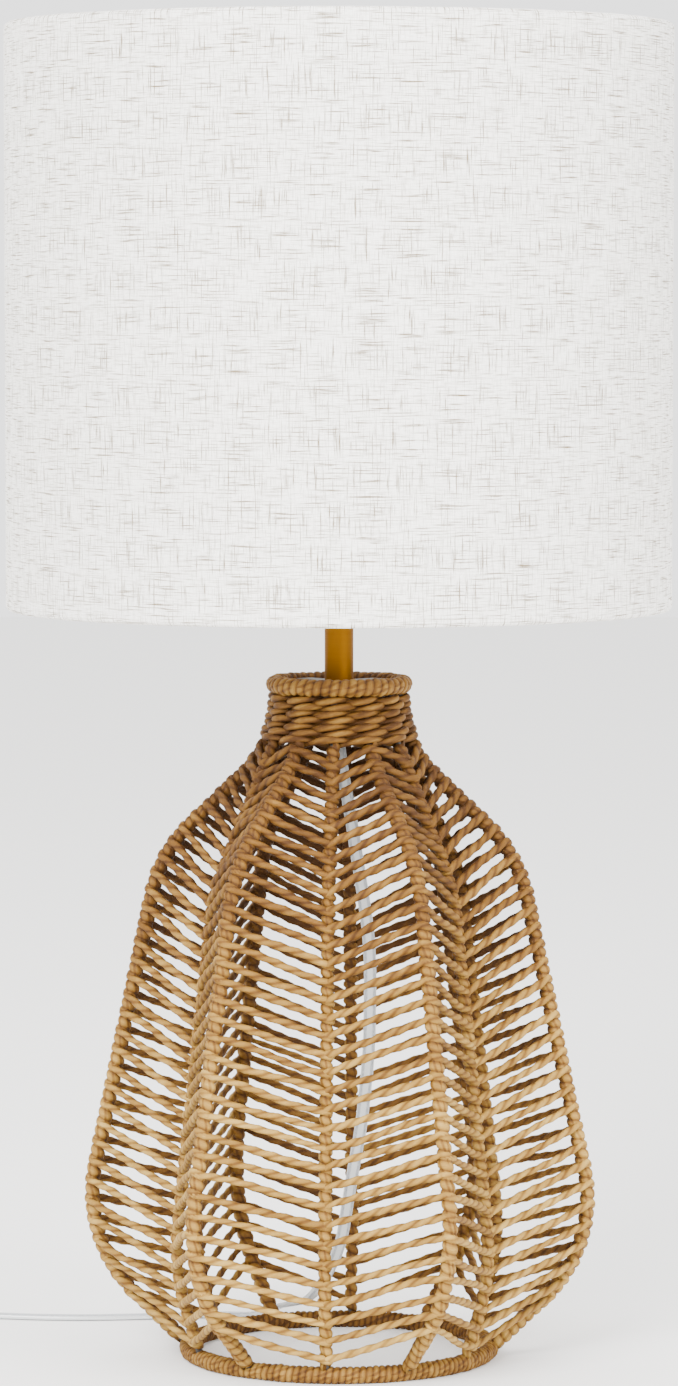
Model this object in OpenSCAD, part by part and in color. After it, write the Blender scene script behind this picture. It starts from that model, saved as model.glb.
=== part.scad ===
// Table lamp: a woven paper-rope basket on a welded wire frame carries a brass pole,
// a harp and a fabric drum shade. Origin: centre of the base on the table, +Z up,
// the front of the lamp faces -Y. Millimetres.

/* [Basket frame] */
// Radius of the base ring's wire circle
base_ring_r = 68.5; // [60:0.5:80]
// Radius of the neck ring's wire circle
neck_ring_r = 29; // [27:0.5:34]
// Height of the neck ring above the table
neck_ring_z = 305.4; // [280:0.2:340]
// Radius at which the ribs stand under the neck ring
rib_top_r = 27.5; // [26.5:0.5:30]
// Wire of the two rings
ring_wire_d = 4; // [3:0.5:5]
// Wire of the ribs
rib_wire_d = 3; // [2.5:0.5:4]
// Ribs of each kind, outer and inner
rib_pairs = 6; // [4:1:6]
// Turn of the basket about its axis
basket_turn = -4.5; // [-30:0.5:30]

/* [Outer ribs] */
// Drop from the neck ring to where an outer rib leaves the neck's vertical
outer_neck_drop = 25.9; // [16:0.1:45]
// Radius of the outer rib's shoulder corner
outer_shoulder_r = 81; // [70:0.5:90]
// Drop from the neck ring to the outer rib's shoulder corner
outer_shoulder_drop = 76.9; // [66:0.1:105]
// Radius of the outer rib's belly corner
outer_belly_r = 118.5; // [100:0.5:125]
// Height of the outer rib's belly corner
outer_belly_z = 51.5; // [45:0.5:80]
// Bend radii of the outer rib at neck, shoulder and belly
outer_bends = [50, 64, 64]; // [40:1:66]

/* [Inner ribs] */
// Drop from the neck ring to where an inner rib leaves the neck's vertical
inner_neck_drop = 15.4; // [10:0.1:20]
// Radius of the inner rib's shoulder corner
inner_shoulder_r = 62; // [50:0.5:70]
// Drop from the neck ring to the inner rib's shoulder corner
inner_shoulder_drop = 91.4; // [75:0.1:115]
// Radius of the inner rib's belly corner
inner_belly_r = 82; // [74:0.5:90]
// Height of the inner rib's belly corner
inner_belly_z = 46; // [40:0.5:60]
// Bend radii of the inner rib at neck, shoulder and belly
inner_bends = [35, 80, 90]; // [30:1:90]

/* [Rope work] */
// Twisted paper rope that spans from rib to rib
rope_d = 3.4; // [2:0.1:3.5]
// Outside diameter of a wound outer rib
outer_wrap_d = 8; // [6:0.5:9]
// Outside diameter of a wound inner rib
inner_wrap_d = 7; // [6:0.5:9]
// Outside diameter of a wound ring
ring_wrap_d = 8; // [7:0.5:9]
// Depth of the flat that the base ring's rope is pressed to
rest_flat = 0.2; // [0.1:0.05:0.4]
// Rope courses from neck to base
courses = 34; // [24:1:38]
// First course on an outer rib, along the rib from the neck ring
outer_first = 29; // [27:0.5:40]
// Last course on an outer rib, along the rib from the base ring
outer_last = 37; // [30:0.5:60]
// First course on an inner rib, along the rib from the neck ring
inner_first = 37; // [30:0.5:45]
// Last course on an inner rib, along the rib from the base ring
inner_last = 8.5; // [8:0.5:20]
// Pitch of the first outer courses as a share of the mean pitch
outer_tightness = 0.88; // [0.8:0.01:1]
// Pitch of the first inner courses as a share of the mean pitch
inner_tightness = 0.89; // [0.8:0.01:1]
// Rows of twined rope round the neck
neck_rows = 7; // [5:1:8]
// Pitch of the neck rows
neck_row_pitch = 3.1; // [2.8:0.1:3.4]
// Height of one neck row's rope
neck_rope_d = 3.5; // [3.4:0.1:3.8]

/* [Pole] */
// Outside diameter of the pole
pole_d = 13; // [11:0.5:19]
// Wall of the pole
pole_wall = 1; // [0.8:0.1:1.5]
// Length of the pole, from the cross up to the saddle
pole_h = 55.1; // [43:0.1:73]
// Outside diameter of the threaded pipe
pipe_d = 10; // [9:0.2:10.4]
// Bore of the threaded pipe
pipe_bore = 8; // [7:0.2:8.4]
// Width of the arms of the cross in the neck ring
cross_arm_w = 10; // [8:0.5:11]
// Thickness of the cross in the neck ring
cross_t = 3; // [2:0.5:4]
// Length of pipe below the cross
pipe_tail = 20; // [17:1:22]

/* [Socket] */
// Outside diameter of the socket shell
socket_d = 34; // [32:0.5:40]
// Height of the socket cap
cap_h = 22; // [18:1:28]
// Height of the socket shell above the cap
shell_h = 40; // [36:1:50]
// Wall of the cap and shell
socket_wall = 0.8; // [0.6:0.1:1.2]
// Inside diameter of the screw shell that takes the bulb
screw_bore = 27; // [26.8:0.1:27.4]
// Diameter of the turn knob
knob_d = 12; // [10:0.5:16]
// Length of the turn knob
knob_l = 16; // [12:1:20]

/* [Harp] */
// Height of the harp's seat above the saddle
harp_h = 216; // [190:1:240]
// Half the distance between the harp's legs at the saddle
harp_leg = 27; // [25:0.5:30]
// Half the widest width of the harp
harp_half_w = 50; // [44:1:56]
// Wire of the harp
harp_wire_d = 4; // [3.5:0.5:5]

/* [Bulb] */
// Diameter of the bulb's globe
bulb_d = 60; // [45:1:64]
// Length of the glass above the base
bulb_glass_h = 84; // [70:1:100]
// Outside diameter of the bulb's screw base
bulb_base_d = 26.4; // [26:0.1:26.5]

/* [Shade] */
// Outside diameter of the drum
shade_d = 300; // [260:2:340]
// Height of the drum
shade_h = 262; // [220:2:300]
// Drop of the fitter's hub below the drum's top edge
shade_recess = 23; // [15:1:35]
// Thickness of the linen
linen_t = 1; // [0.6:0.1:1.4]
// Thickness of the stiff backing
backing_t = 0.8; // [0.6:0.1:1.2]
// Wire of the shade's rings and arms
shade_wire_d = 3; // [2.5:0.5:4]
// Finial height above the hub
finial_h = 17; // [14:1:20]

/* [Cord] */
// Width of the flat two-core cord
cord_w = 5.6; // [5:0.2:6.4]
// Thickness of the flat cord
cord_t = 2.8; // [2.4:0.2:3.2]
// Mean diameter of the stored coil
coil_mean_d = 62; // [56:1:68]
// Width of the coil's turns, side by side
coil_band = 13; // [10:1:24]
// Height of the coil
coil_h = 11.6; // [8:0.2:18]

/* [Hidden] */
$fn = 48;
// Clearance between pieces that touch but are not one solid
fit = 0.1;
// Radial clearance of a pin that turns or slides in its hole
running = 0.05;

function two_digits(n) = str(n < 10 ? "0" : "", n);

// ---- Bent paths: corner points [radius, height] with a bend radius at each inner corner ----

function unit(v) = v / norm(v);
// Signed turn at corner i, degrees
function turn(p, i) =
    let (a = p[i] - p[i - 1], b = p[i + 1] - p[i])
    atan2(a.x * b.y - a.y * b.x, a * b);
function is_end(p, i) = i == 0 || i == len(p) - 1;
// Length that the bend at corner i takes from each straight beside it
function setback(p, r, i) = is_end(p, i) ? 0 : r[i] * tan(abs(turn(p, i)) / 2);
function straight_len(p, r, i) = norm(p[i + 1] - p[i]) - setback(p, r, i) - setback(p, r, i + 1);
function bend_len(p, r, i) = is_end(p, i) ? 0 : r[i] * abs(turn(p, i)) * PI / 180;
function path_len(p, r, i = 0) =
    i == len(p) - 1 ? 0 : straight_len(p, r, i) + bend_len(p, r, i + 1) + path_len(p, r, i + 1);
// Start of the straight after corner i
function straight_start(p, r, i) = p[i] + unit(p[i + 1] - p[i]) * setback(p, r, i);
// Start of the bend at corner i, and the side that its centre is on
function bend_start(p, r, i) = p[i] - unit(p[i] - p[i - 1]) * setback(p, r, i);
function bend_side(p, i) =
    let (u = unit(p[i] - p[i - 1]))
    [-u.y, u.x] * sign(turn(p, i));
function bend_point(p, r, i, d) =
    let (u = unit(p[i] - p[i - 1]), a = d / r[i] * 180 / PI)
    bend_start(p, r, i) + u * r[i] * sin(a) + bend_side(p, i) * r[i] * (1 - cos(a));
// Point at a distance s along the path
function point_at(p, r, s, i = 0) =
    let (l = straight_len(p, r, i), b = bend_len(p, r, i + 1))
    s <= l || i == len(p) - 2 ? straight_start(p, r, i) + unit(p[i + 1] - p[i]) * s
    : s <= l + b ? bend_point(p, r, i + 1, s - l)
    : point_at(p, r, s - l - b, i + 1);
function along_at(p, r, s) = unit(point_at(p, r, s + 0.5) - point_at(p, r, s - 0.5));
// Distance along the path at which the bend at corner i begins
function bend_at(p, r, i) =
    i == 1 ? straight_len(p, r, 0)
    : bend_at(p, r, i - 1) + bend_len(p, r, i - 1) + straight_len(p, r, i - 1);
// Places for the rings of a sweep from s0 to s1: its ends, and every 9 degrees of each bend
function stations(p, r, s0, s1) =
    let (inner = [for (i = [1 : len(p) - 2])
        let (n = ceil(abs(turn(p, i)) / 9))
        for (j = [0 : n]) bend_at(p, r, i) + bend_len(p, r, i) * j / n])
    concat([s0], [for (s = inner) if (s > s0 + 0.5 && s < s1 - 0.5) s], [s1]);
// A ring of points square to the path at s, in the XZ plane's space
function sweep_circle(p, r, s, d, sides) =
    let (q = point_at(p, r, s), t = along_at(p, r, s))
    [for (k = [0 : sides - 1])
        let (a = 360 * k / sides)
        [q.x - t.y * d / 2 * cos(a), -d / 2 * sin(a), q.y + t.x * d / 2 * cos(a)]];
// Side faces between n rings that start at point number first
function skin(first, n, sides, inward) =
    [for (i = [0 : n - 2], k = [0 : sides - 1])
        let (a = first + i * sides + k, b = first + i * sides + (k + 1) % sides, c = a + sides, e = b + sides)
        each inward ? [[a, b, e], [a, e, c]] : [[a, e, b], [a, c, e]]];

// A rod bent along a path, from s0 to s1
module bent_rod(p, r, s0, s1, d, sides = 8) {
    at = stations(p, r, s0, s1);
    n = len(at);
    polyhedron(
        points = [for (s = at) each sweep_circle(p, r, s, d, sides)],
        faces = concat(skin(0, n, sides, false),
            [[for (k = [0 : sides - 1]) k]],
            [[for (k = [sides - 1 : -1 : 0]) (n - 1) * sides + k]]));
}

// A sleeve bent along a path, from s0 to s1, open at both ends
module bent_sleeve(p, r, s0, s1, d, bore, sides = 10) {
    at = stations(p, r, s0, s1);
    n = len(at);
    in = n * sides;
    end = (n - 1) * sides;
    polyhedron(
        points = concat(
            [for (s = at) each sweep_circle(p, r, s, d, sides)],
            [for (s = at) each sweep_circle(p, r, s, bore, sides)]),
        faces = concat(skin(0, n, sides, false), skin(in, n, sides, true),
            [for (k = [0 : sides - 1])
                let (j = (k + 1) % sides)
                each [[k, j, in + j], [k, in + j, in + k],
                      [end + j, end + k, in + end + k], [end + j, in + end + k, in + end + j]]]));
}

// A straight rod from a to b
module rod_between(a, b, d) {
    v = b - a;
    translate(a) rotate([0, acos(v.z / norm(v)), atan2(v.y, v.x)]) cylinder(h = norm(v), d = d);
}

module torus(r, z, d) {
    translate([0, 0, z]) rotate_extrude() translate([r, 0]) circle(d = d);
}

module tube(r_out, r_in, h) {
    rotate_extrude() translate([r_in, 0]) square([r_out - r_in, h]);
}

// ---- Basket frame ----

base_ring_z = ring_wrap_d / 2 - rest_flat;
outer_path = [[rib_top_r, neck_ring_z], [rib_top_r, neck_ring_z - outer_neck_drop],
    [outer_shoulder_r, neck_ring_z - outer_shoulder_drop], [outer_belly_r, outer_belly_z],
    [base_ring_r, base_ring_z]];
outer_r = [0, outer_bends[0], outer_bends[1], outer_bends[2], 0];
inner_path = [[rib_top_r, neck_ring_z], [rib_top_r, neck_ring_z - inner_neck_drop],
    [inner_shoulder_r, neck_ring_z - inner_shoulder_drop], [inner_belly_r, inner_belly_z],
    [base_ring_r, base_ring_z]];
inner_r = [0, inner_bends[0], inner_bends[1], inner_bends[2], 0];

rib_step = 360 / rib_pairs;
// Angle of outer rib i from the +X axis; inner rib i stands half a step on
function outer_angle(i) = -90 + basket_turn - rib_step / 2 + i * rib_step;
function inner_angle(i) = outer_angle(i) + rib_step / 2;

module at_outer_ribs() {
    for (i = [1 : rib_pairs]) rotate([0, 0, outer_angle(i)]) children();
}
module at_inner_ribs() {
    for (i = [1 : rib_pairs]) rotate([0, 0, inner_angle(i)]) children();
}

module base_ring_wire() {
    color("dimgray") torus(base_ring_r, base_ring_z, ring_wire_d);
}

module neck_ring_wire() {
    color("dimgray") torus(neck_ring_r, neck_ring_z, ring_wire_d);
}

// The rib wires butt against the ring wires
wire_end = ring_wire_d / 2 + fit;
module rib_wire(p, r) {
    bent_rod(p, r, wire_end, path_len(p, r) - wire_end, rib_wire_d);
}
module outer_rib_wires() {
    color("dimgray") at_outer_ribs() rib_wire(outer_path, outer_r);
}

module inner_rib_wires() {
    color("dimgray") at_inner_ribs() rib_wire(inner_path, inner_r);
}

// The cross stands between the ribs, on the ring's centre line, and reaches the ring's wire
cross_r = sqrt(pow(neck_ring_r - ring_wire_d / 2 - fit, 2) - pow(cross_arm_w / 2, 2));
cross_turn = outer_angle(1) + rib_step / 4;
cross_hub_d = 2.4 * pipe_d;
module cross_arms(grow) {
    rotate([0, 0, cross_turn]) for (a = [0, 90]) rotate([0, 0, a])
        translate([-cross_r, -cross_arm_w / 2 - grow, neck_ring_z - cross_t / 2 - grow])
        cube([2 * cross_r, cross_arm_w + 2 * grow, cross_t + 2 * grow]);
}
module neck_cross() {
    color("dimgray") difference() {
        union() {
            cross_arms(0);
            translate([0, 0, neck_ring_z - cross_t / 2]) cylinder(h = cross_t, d = cross_hub_d);
        }
        translate([0, 0, neck_ring_z - cross_t]) cylinder(h = 2 * cross_t, d = pipe_d + 2 * fit);
    }
}

// ---- Rope work ----

// Holes that the rib wires need through a ring's rope: the last stretch of each rib
hole_len = 2 * ring_wrap_d;
module rib_hole(end, before) {
    a = [end.x, 0, end.y];
    v = unit(before - end) * hole_len;
    rod_between(a, a + [v.x, 0, v.y], rib_wire_d + 2 * fit);
}
module base_holes() {
    at_outer_ribs() rib_hole(outer_path[4], outer_path[3]);
    at_inner_ribs() rib_hole(inner_path[4], inner_path[3]);
}
module neck_holes() {
    at_outer_ribs() rib_hole(outer_path[0], outer_path[1]);
    at_inner_ribs() rib_hole(inner_path[0], inner_path[1]);
}

// The base ring's rope is pressed flat where it stands on the table
module base_ring_wrap() {
    color("burlywood") difference() {
        torus(base_ring_r, base_ring_z, ring_wrap_d);
        torus(base_ring_r, base_ring_z, ring_wire_d + 2 * fit);
        translate([0, 0, -ring_wrap_d]) cylinder(h = ring_wrap_d, r = base_ring_r + ring_wrap_d);
        base_holes();
    }
}

module neck_ring_wrap() {
    color("burlywood") difference() {
        torus(neck_ring_r, neck_ring_z, ring_wrap_d);
        torus(neck_ring_r, neck_ring_z, ring_wire_d + 2 * fit);
        neck_holes();
        cross_arms(fit);
    }
}

// Rows of twined rope: one band outside the ribs and one inside them
row_first = ring_wrap_d / 2 + neck_rope_d / 2 + fit;
row_last = row_first + (neck_rows - 1) * neck_row_pitch;
// The inner ribs stand a little proud of the outer ones at the neck
row_offset = rib_wire_d / 2 + neck_rope_d / 2 + 0.6;
function row_point(i, side) =
    let (s = row_first + i * neck_row_pitch, t = along_at(outer_path, outer_r, s))
    point_at(outer_path, outer_r, s) + side * row_offset * [-t.y, t.x];
module neck_band(side) {
    rotate_extrude() for (i = [0 : neck_rows - 1]) translate(row_point(i, side))
        circle(d = neck_rope_d);
}
module neck_weave_outer() {
    color("peru") neck_band(1);
}
module neck_weave_inner() {
    color("peru") neck_band(-1);
}

// A wound rib: from under the neck rows down to the base ring's rope
wrap_first = row_last + neck_rope_d / 2 + 1.5;
wrap_room = ring_wrap_d / 2 + 3 * fit;
bore_d = (rib_wire_d + 2 * fit) / cos(18);
module rib_wrap(p, r, d) {
    bent_sleeve(p, r, wrap_first, path_len(p, r) - wrap_room, d, bore_d);
}
module outer_rib_wrap(i) {
    color("burlywood") rotate([0, 0, outer_angle(i)]) rib_wrap(outer_path, outer_r, outer_wrap_d);
}
module inner_rib_wrap(i) {
    color("burlywood") rotate([0, 0, inner_angle(i)]) rib_wrap(inner_path, inner_r, inner_wrap_d);
}

// Course k along a rib that runs from s0 to s1; tight is the first pitch over the mean pitch
function course_at(k, s0, s1, tight) =
    let (u = k / (courses - 1))
    s0 + (s1 - s0) * (tight * u + (1 - tight) * u * u);
function on_rib(p, r, s, angle) =
    let (q = point_at(p, r, s))
    [q.x * cos(angle), q.x * sin(angle), q.y];
function rib_along(p, r, s, angle) =
    let (t = along_at(p, r, s))
    [t.x * cos(angle), t.x * sin(angle), t.y];
// How far from the rib's centre line a rope's flat end clears the wound rib
function end_room(u, t, wrap_d) =
    (wrap_d / 2 + fit + rope_d / 2 * abs(u * t)) / norm(cross(u, t));
module course(k, outer_a, inner_a) {
    so = course_at(k, outer_first, path_len(outer_path, outer_r) - outer_last, outer_tightness);
    si = course_at(k, inner_first, path_len(inner_path, inner_r) - inner_last, inner_tightness);
    a = on_rib(outer_path, outer_r, so, outer_a);
    b = on_rib(inner_path, inner_r, si, inner_a);
    u = unit(b - a);
    rod_between(
        a + u * end_room(u, rib_along(outer_path, outer_r, so, outer_a), outer_wrap_d),
        b - u * end_room(u, rib_along(inner_path, inner_r, si, inner_a), inner_wrap_d),
        rope_d);
}
// Bay n lies between two neighbouring ribs: odd bays run on from an outer rib, even ones to it
module weave_bay(n) {
    pair = ceil(n / 2);
    color("tan") for (k = [0 : courses - 1])
        if (n % 2 == 1) course(k, outer_angle(pair), inner_angle(pair));
        else course(k, outer_angle(pair + 1), inner_angle(pair));
}

// ---- Pole ----

cross_top = neck_ring_z + cross_t / 2;
cross_bottom = neck_ring_z - cross_t / 2;
saddle_z = cross_top + pole_h;
saddle_t = 2;
washer_t = 1.5;
nut_h = 6;
nut_flats = 15;
pipe_bottom = cross_bottom - pipe_tail;
pipe_top = saddle_z + saddle_t + 11;
flange_t = 2.5;
exit_z = pipe_bottom - flange_t;

module pole() {
    color("goldenrod") translate([0, 0, cross_top])
        tube(pole_d / 2, pole_d / 2 - pole_wall, pole_h);
}

module threaded_pipe() {
    color("silver") translate([0, 0, pipe_bottom])
        tube(pipe_d / 2, pipe_bore / 2, pipe_top - pipe_bottom);
}

module pipe_washer() {
    color("silver") translate([0, 0, cross_bottom - washer_t])
        tube(pipe_d, pipe_d / 2 + fit, washer_t);
}

module pipe_nut() {
    color("goldenrod") translate([0, 0, cross_bottom - washer_t - nut_h]) difference() {
        cylinder(h = nut_h, d = nut_flats / cos(30), $fn = 6);
        translate([0, 0, -1]) cylinder(h = nut_h + 2, d = pipe_d + 2 * fit);
    }
}

// Flanged bushing pushed up into the pipe, with a slot for the flat cord
module cord_bushing() {
    color("black") difference() {
        translate([0, 0, exit_z]) union() {
            cylinder(h = flange_t, d = pipe_d + 2);
            cylinder(h = flange_t + 8, d = pipe_bore - 2 * fit);
        }
        translate([0, 0, exit_z - 1]) linear_extrude(height = 14) flat_cord_section(fit);
    }
}

// Flat two-core cord: two round cores side by side with a web between them
module flat_cord_section(grow) {
    for (s = [-1, 1]) translate([s * (cord_w - cord_t) / 2, 0]) circle(d = cord_t + 2 * grow);
    square([cord_w - cord_t, 0.8 * cord_t + 2 * grow], center = true);
}

module lead_in_pole() {
    color("gainsboro") translate([0, 0, exit_z]) linear_extrude(height = pipe_top - exit_z)
        flat_cord_section(0);
}

// ---- Socket ----

saddle_top = saddle_z + saddle_t;
saddle_w = 14;
pin_d = 3.2;
pin_h = 12;
cap_base = saddle_top + fit;
cap_top = cap_base + cap_h;
shell_base = cap_top + fit;
shell_top = shell_base + shell_h;
hub_h = 10;
core_r = socket_d / 2 - 3.5;
core_base = pipe_top + 2;
seat_z = shell_base + 13;
screw_top = shell_top - 2;
screw_wall = 0.6;
switch_z = shell_base + 6;
stem_d = 4;
stem_depth = 7;
knob_gap = 3;

module harp_saddle() {
    color("goldenrod") {
        difference() {
            translate([-harp_leg - 5, -saddle_w / 2, saddle_z])
                cube([2 * harp_leg + 10, saddle_w, saddle_t]);
            translate([0, 0, saddle_z - 1]) cylinder(h = saddle_t + 2, d = pipe_d + 2 * fit);
        }
        for (s = [-1, 1]) translate([s * harp_leg, 0, saddle_z + saddle_t / 2])
            cylinder(h = pin_h + saddle_t / 2, d = pin_d);
    }
}

// Dished cap with a threaded hub on the pipe
module socket_cap() {
    r = socket_d / 2;
    w = socket_wall;
    hole = pipe_d / 2 + fit;
    color("goldenrod") translate([0, 0, cap_base]) rotate_extrude() polygon([
        [hole, 0], [r - 6, 0], [r - 1.5, 4], [r, 8], [r, cap_h], [r - w, cap_h],
        [r - w, 8.2], [r - 1.5 - w, 4.6], [r - 6.4, w], [hole + 2, w], [hole + 2, hub_h],
        [hole, hub_h]]);
}

// Shell with two rolled beads and a rim turned in at the mouth
module socket_shell() {
    r = socket_d / 2;
    color("goldenrod") difference() {
        translate([0, 0, shell_base]) union() {
            tube(r, r - socket_wall, shell_h);
            for (h = [2, shell_h - 2]) translate([0, 0, h]) rotate_extrude()
                translate([r - socket_wall / 2, 0]) circle(d = 2 * socket_wall);
        }
        translate([0, 0, switch_z]) rotate([90, 0, 0]) cylinder(h = socket_d, d = stem_d + 2);
    }
}

module socket_liner() {
    r = socket_d / 2 - 2 * socket_wall;
    color("wheat") difference() {
        translate([0, 0, shell_base + fit]) tube(r, r - 0.6, shell_h - 1);
        translate([0, 0, switch_z]) rotate([90, 0, 0]) cylinder(h = socket_d, d = stem_d + 2);
    }
}

// Switch body below, brass screw shell above, with the centre contact between
module socket_core() {
    color("darkkhaki") difference() {
        union() {
            translate([0, 0, core_base]) cylinder(h = seat_z - core_base, r = core_r);
            translate([0, 0, seat_z - 2]) cylinder(h = 2, r = screw_bore / 2 + screw_wall);
            translate([0, 0, seat_z - 1])
                tube(screw_bore / 2 + screw_wall, screw_bore / 2, screw_top - seat_z + 1);
            translate([0, 0, seat_z - 1]) cylinder(h = 2, d = 8);
        }
        translate([0, 0, switch_z]) rotate([90, 0, 0])
            translate([0, 0, core_r - stem_depth]) cylinder(h = socket_d, d = stem_d + 2 * running);
    }
}

// Fluted knob on its stem, which turns in the switch body
module switch_knob() {
    color("black") translate([0, 0, switch_z]) rotate([90, 0, 0]) {
        translate([0, 0, core_r - stem_depth + fit])
            cylinder(h = socket_d / 2 + knob_gap - core_r + stem_depth + 1, d = stem_d);
        translate([0, 0, socket_d / 2 + knob_gap]) difference() {
            cylinder(h = knob_l, d = knob_d);
            for (a = [0 : 30 : 330]) rotate([0, 0, a]) translate([knob_d / 2 + 0.6, 0, 3])
                cylinder(h = knob_l, d = 2.4);
        }
    }
}

// ---- Harp ----

leg_base = saddle_top + fit;
cup_d = 6;
cup_h = 14;
leg_straight = 34;
harp_seat_z = saddle_z + harp_h;
seat_t = 4;
seat_d = 18;
stud_d = 6.3;
stud_h = 14;
sleeve_h = 13;
sleeve_d = 9;
harp_path = [[harp_leg, leg_base + cup_h - 1], [harp_leg, leg_base + leg_straight],
    [harp_half_w, leg_base + leg_straight + 50], [harp_half_w, harp_seat_z - 62],
    [seat_d / 2, harp_seat_z - seat_t / 2], [0, harp_seat_z - seat_t / 2]];
harp_r = [0, 30, 60, 40, 10, 0];

module harp() {
    color("goldenrod") difference() {
        union() {
            for (a = [0, 180]) rotate([0, 0, a]) {
                bent_rod(harp_path, harp_r, 0, path_len(harp_path, harp_r) - 1, harp_wire_d, 12);
                translate([harp_leg, 0, leg_base]) cylinder(h = cup_h, d = cup_d);
            }
            translate([0, 0, harp_seat_z - seat_t]) cylinder(h = seat_t, d = seat_d);
            translate([0, 0, harp_seat_z - 1]) cylinder(h = stud_h + 1, d = stud_d);
        }
        for (s = [-1, 1]) translate([s * harp_leg, 0, leg_base - 1])
            cylinder(h = pin_h + 1.5, d = pin_d + 2 * running);
    }
}

module harp_sleeve(side) {
    color("goldenrod") translate([side * harp_leg, 0, leg_base])
        tube(sleeve_d / 2, cup_d / 2 + 0.2, sleeve_h);
}

// ---- Bulb ----

base_h = 22;
bulb_z = seat_z + 3;
glass_z = bulb_z + base_h + fit;

module bulb_base() {
    r = bulb_base_d / 2;
    color("silver") translate([0, 0, bulb_z]) rotate_extrude() polygon([
        [0, -1.5], [4, -1.5], [5, 0], [r, 4], [r, base_h], [0, base_h]]);
}

// Outline of the glass: a globe that runs down into the neck on a smooth curve
module glass_outline(inset) {
    globe = bulb_d / 2 - inset;
    neck = bulb_base_d / 2 - 1 - inset;
    c = bulb_glass_h - bulb_d / 2;
    last = 130;
    p0 = [globe * sin(last), c + globe * cos(last)];
    p1 = p0 + 12 * [cos(last), -sin(last)];
    p3 = [neck, 0];
    p2 = [neck, 13];
    polygon(concat(
        [[0, 0]], [[0, c + globe]],
        [for (a = [10 : 10 : last]) [globe * sin(a), c + globe * cos(a)]],
        [for (t = [0.125 : 0.125 : 0.875])
            pow(1 - t, 3) * p0 + 3 * t * pow(1 - t, 2) * p1 + 3 * t * t * (1 - t) * p2 + t * t * t * p3],
        [p3]));
}
module bulb_glass() {
    color("white") translate([0, 0, glass_z]) rotate_extrude() difference() {
        glass_outline(0);
        translate([0, -0.01]) glass_outline(1);
    }
}

// ---- Shade ----

hub_t = shade_wire_d;
hub_base = harp_seat_z;
hub_d = 22;
shade_top = hub_base + shade_recess;
shade_bottom = shade_top - shade_h;
backing_r = shade_d / 2 - linen_t - fit;
shade_ring_r = backing_r - backing_t - fit - shade_wire_d / 2;
hem = 2;
top_ring_z = shade_top - hem - shade_wire_d / 2;
bottom_ring_z = shade_bottom + hem + shade_wire_d / 2;
arm_path = [[shade_ring_r, top_ring_z], [shade_ring_r - 9, hub_base + hub_t / 2],
    [hub_d / 2 - 2, hub_base + hub_t / 2]];
arm_r = [0, 8, 0];

module shade_fabric() {
    color("ivory") translate([0, 0, shade_bottom]) tube(shade_d / 2, shade_d / 2 - linen_t, shade_h);
}

module shade_backing() {
    color("white") translate([0, 0, shade_bottom + hem / 2])
        tube(backing_r, backing_r - backing_t, shade_h - hem);
}

// Top ring with three arms down to a flat hub
module shade_fitter() {
    color("white") {
        torus(shade_ring_r, top_ring_z, shade_wire_d);
        for (a = [90, 210, 330]) rotate([0, 0, a])
            bent_rod(arm_path, arm_r, 0, path_len(arm_path, arm_r), shade_wire_d);
        translate([0, 0, hub_base]) tube(hub_d / 2, stud_d / 2 + 0.3, hub_t);
    }
}

module shade_bottom_ring() {
    color("white") torus(shade_ring_r, bottom_ring_z, shade_wire_d);
}

// Turned knob with a threaded blind hole
module finial() {
    r = 7;
    hole = stud_d / 2 + running;
    depth = stud_h - hub_t + 1;
    color("goldenrod") translate([0, 0, hub_base + hub_t + fit]) rotate_extrude() difference() {
        union() {
            square([r, 1.5]);
            translate([0, 1.5]) square([r - 2.2, finial_h - 1.5 - r]);
            intersection() {
                translate([0, finial_h - r]) circle(r = r);
                square([r, finial_h]);
            }
        }
        translate([-1, -1]) square([hole + 1, depth + 1]);
    }
}

// ---- Free cord ----

// The route is drawn for a bushing with its mouth at drawn_exit_z, and above hang_z it takes up any other drop
drawn_exit_z = 281.3;
hang_z = 40;
function hung(p) =
    let (share = max(0, p.z - hang_z) / (drawn_exit_z - hang_z))
    [p.x, p.y, p.z + (exit_z - fit - drawn_exit_z) * share];
// Route from the bushing down inside the basket, over the base ring and out to the coil
cord_route = [for (p = [
    [0, 0, drawn_exit_z], [0.5, 0, 274], [2, 0, 264], [5, 0, 247], [7.5, 0, 231], [10.5, 0, 212],
    [13, 0, 194], [14, 0, 178], [14, 0, 160], [13.5, 1, 140], [12, 3, 122], [10, 6, 104],
    [7, 10, 86], [4, 17, 67], [1, 27, 48], [-4, 38, 33], [-10, 49, 21], [-16, 59, 14],
    [-22, 68, 11], [-28, 78, 8], [-34, 86, 4], [-44, 91, 1.4], [-58, 92, 1.4], [-76, 90, 1.4],
    [-96, 87, 1.4], [-118, 85, 1.4], [-140, 86, 1.4], [-160, 89.5, 1.4], [-176, 93, 1.4], [-187, 95.8, 1.4]])
    hung(p)];
coil_centre = [-210, 62];
plug_l = 30;
plug_w = 22;
plug_t = 13;
blade_w = 6.3;
blade_t = 1.5;
blade_l = 16;
blade_gap = 12.7;

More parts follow.
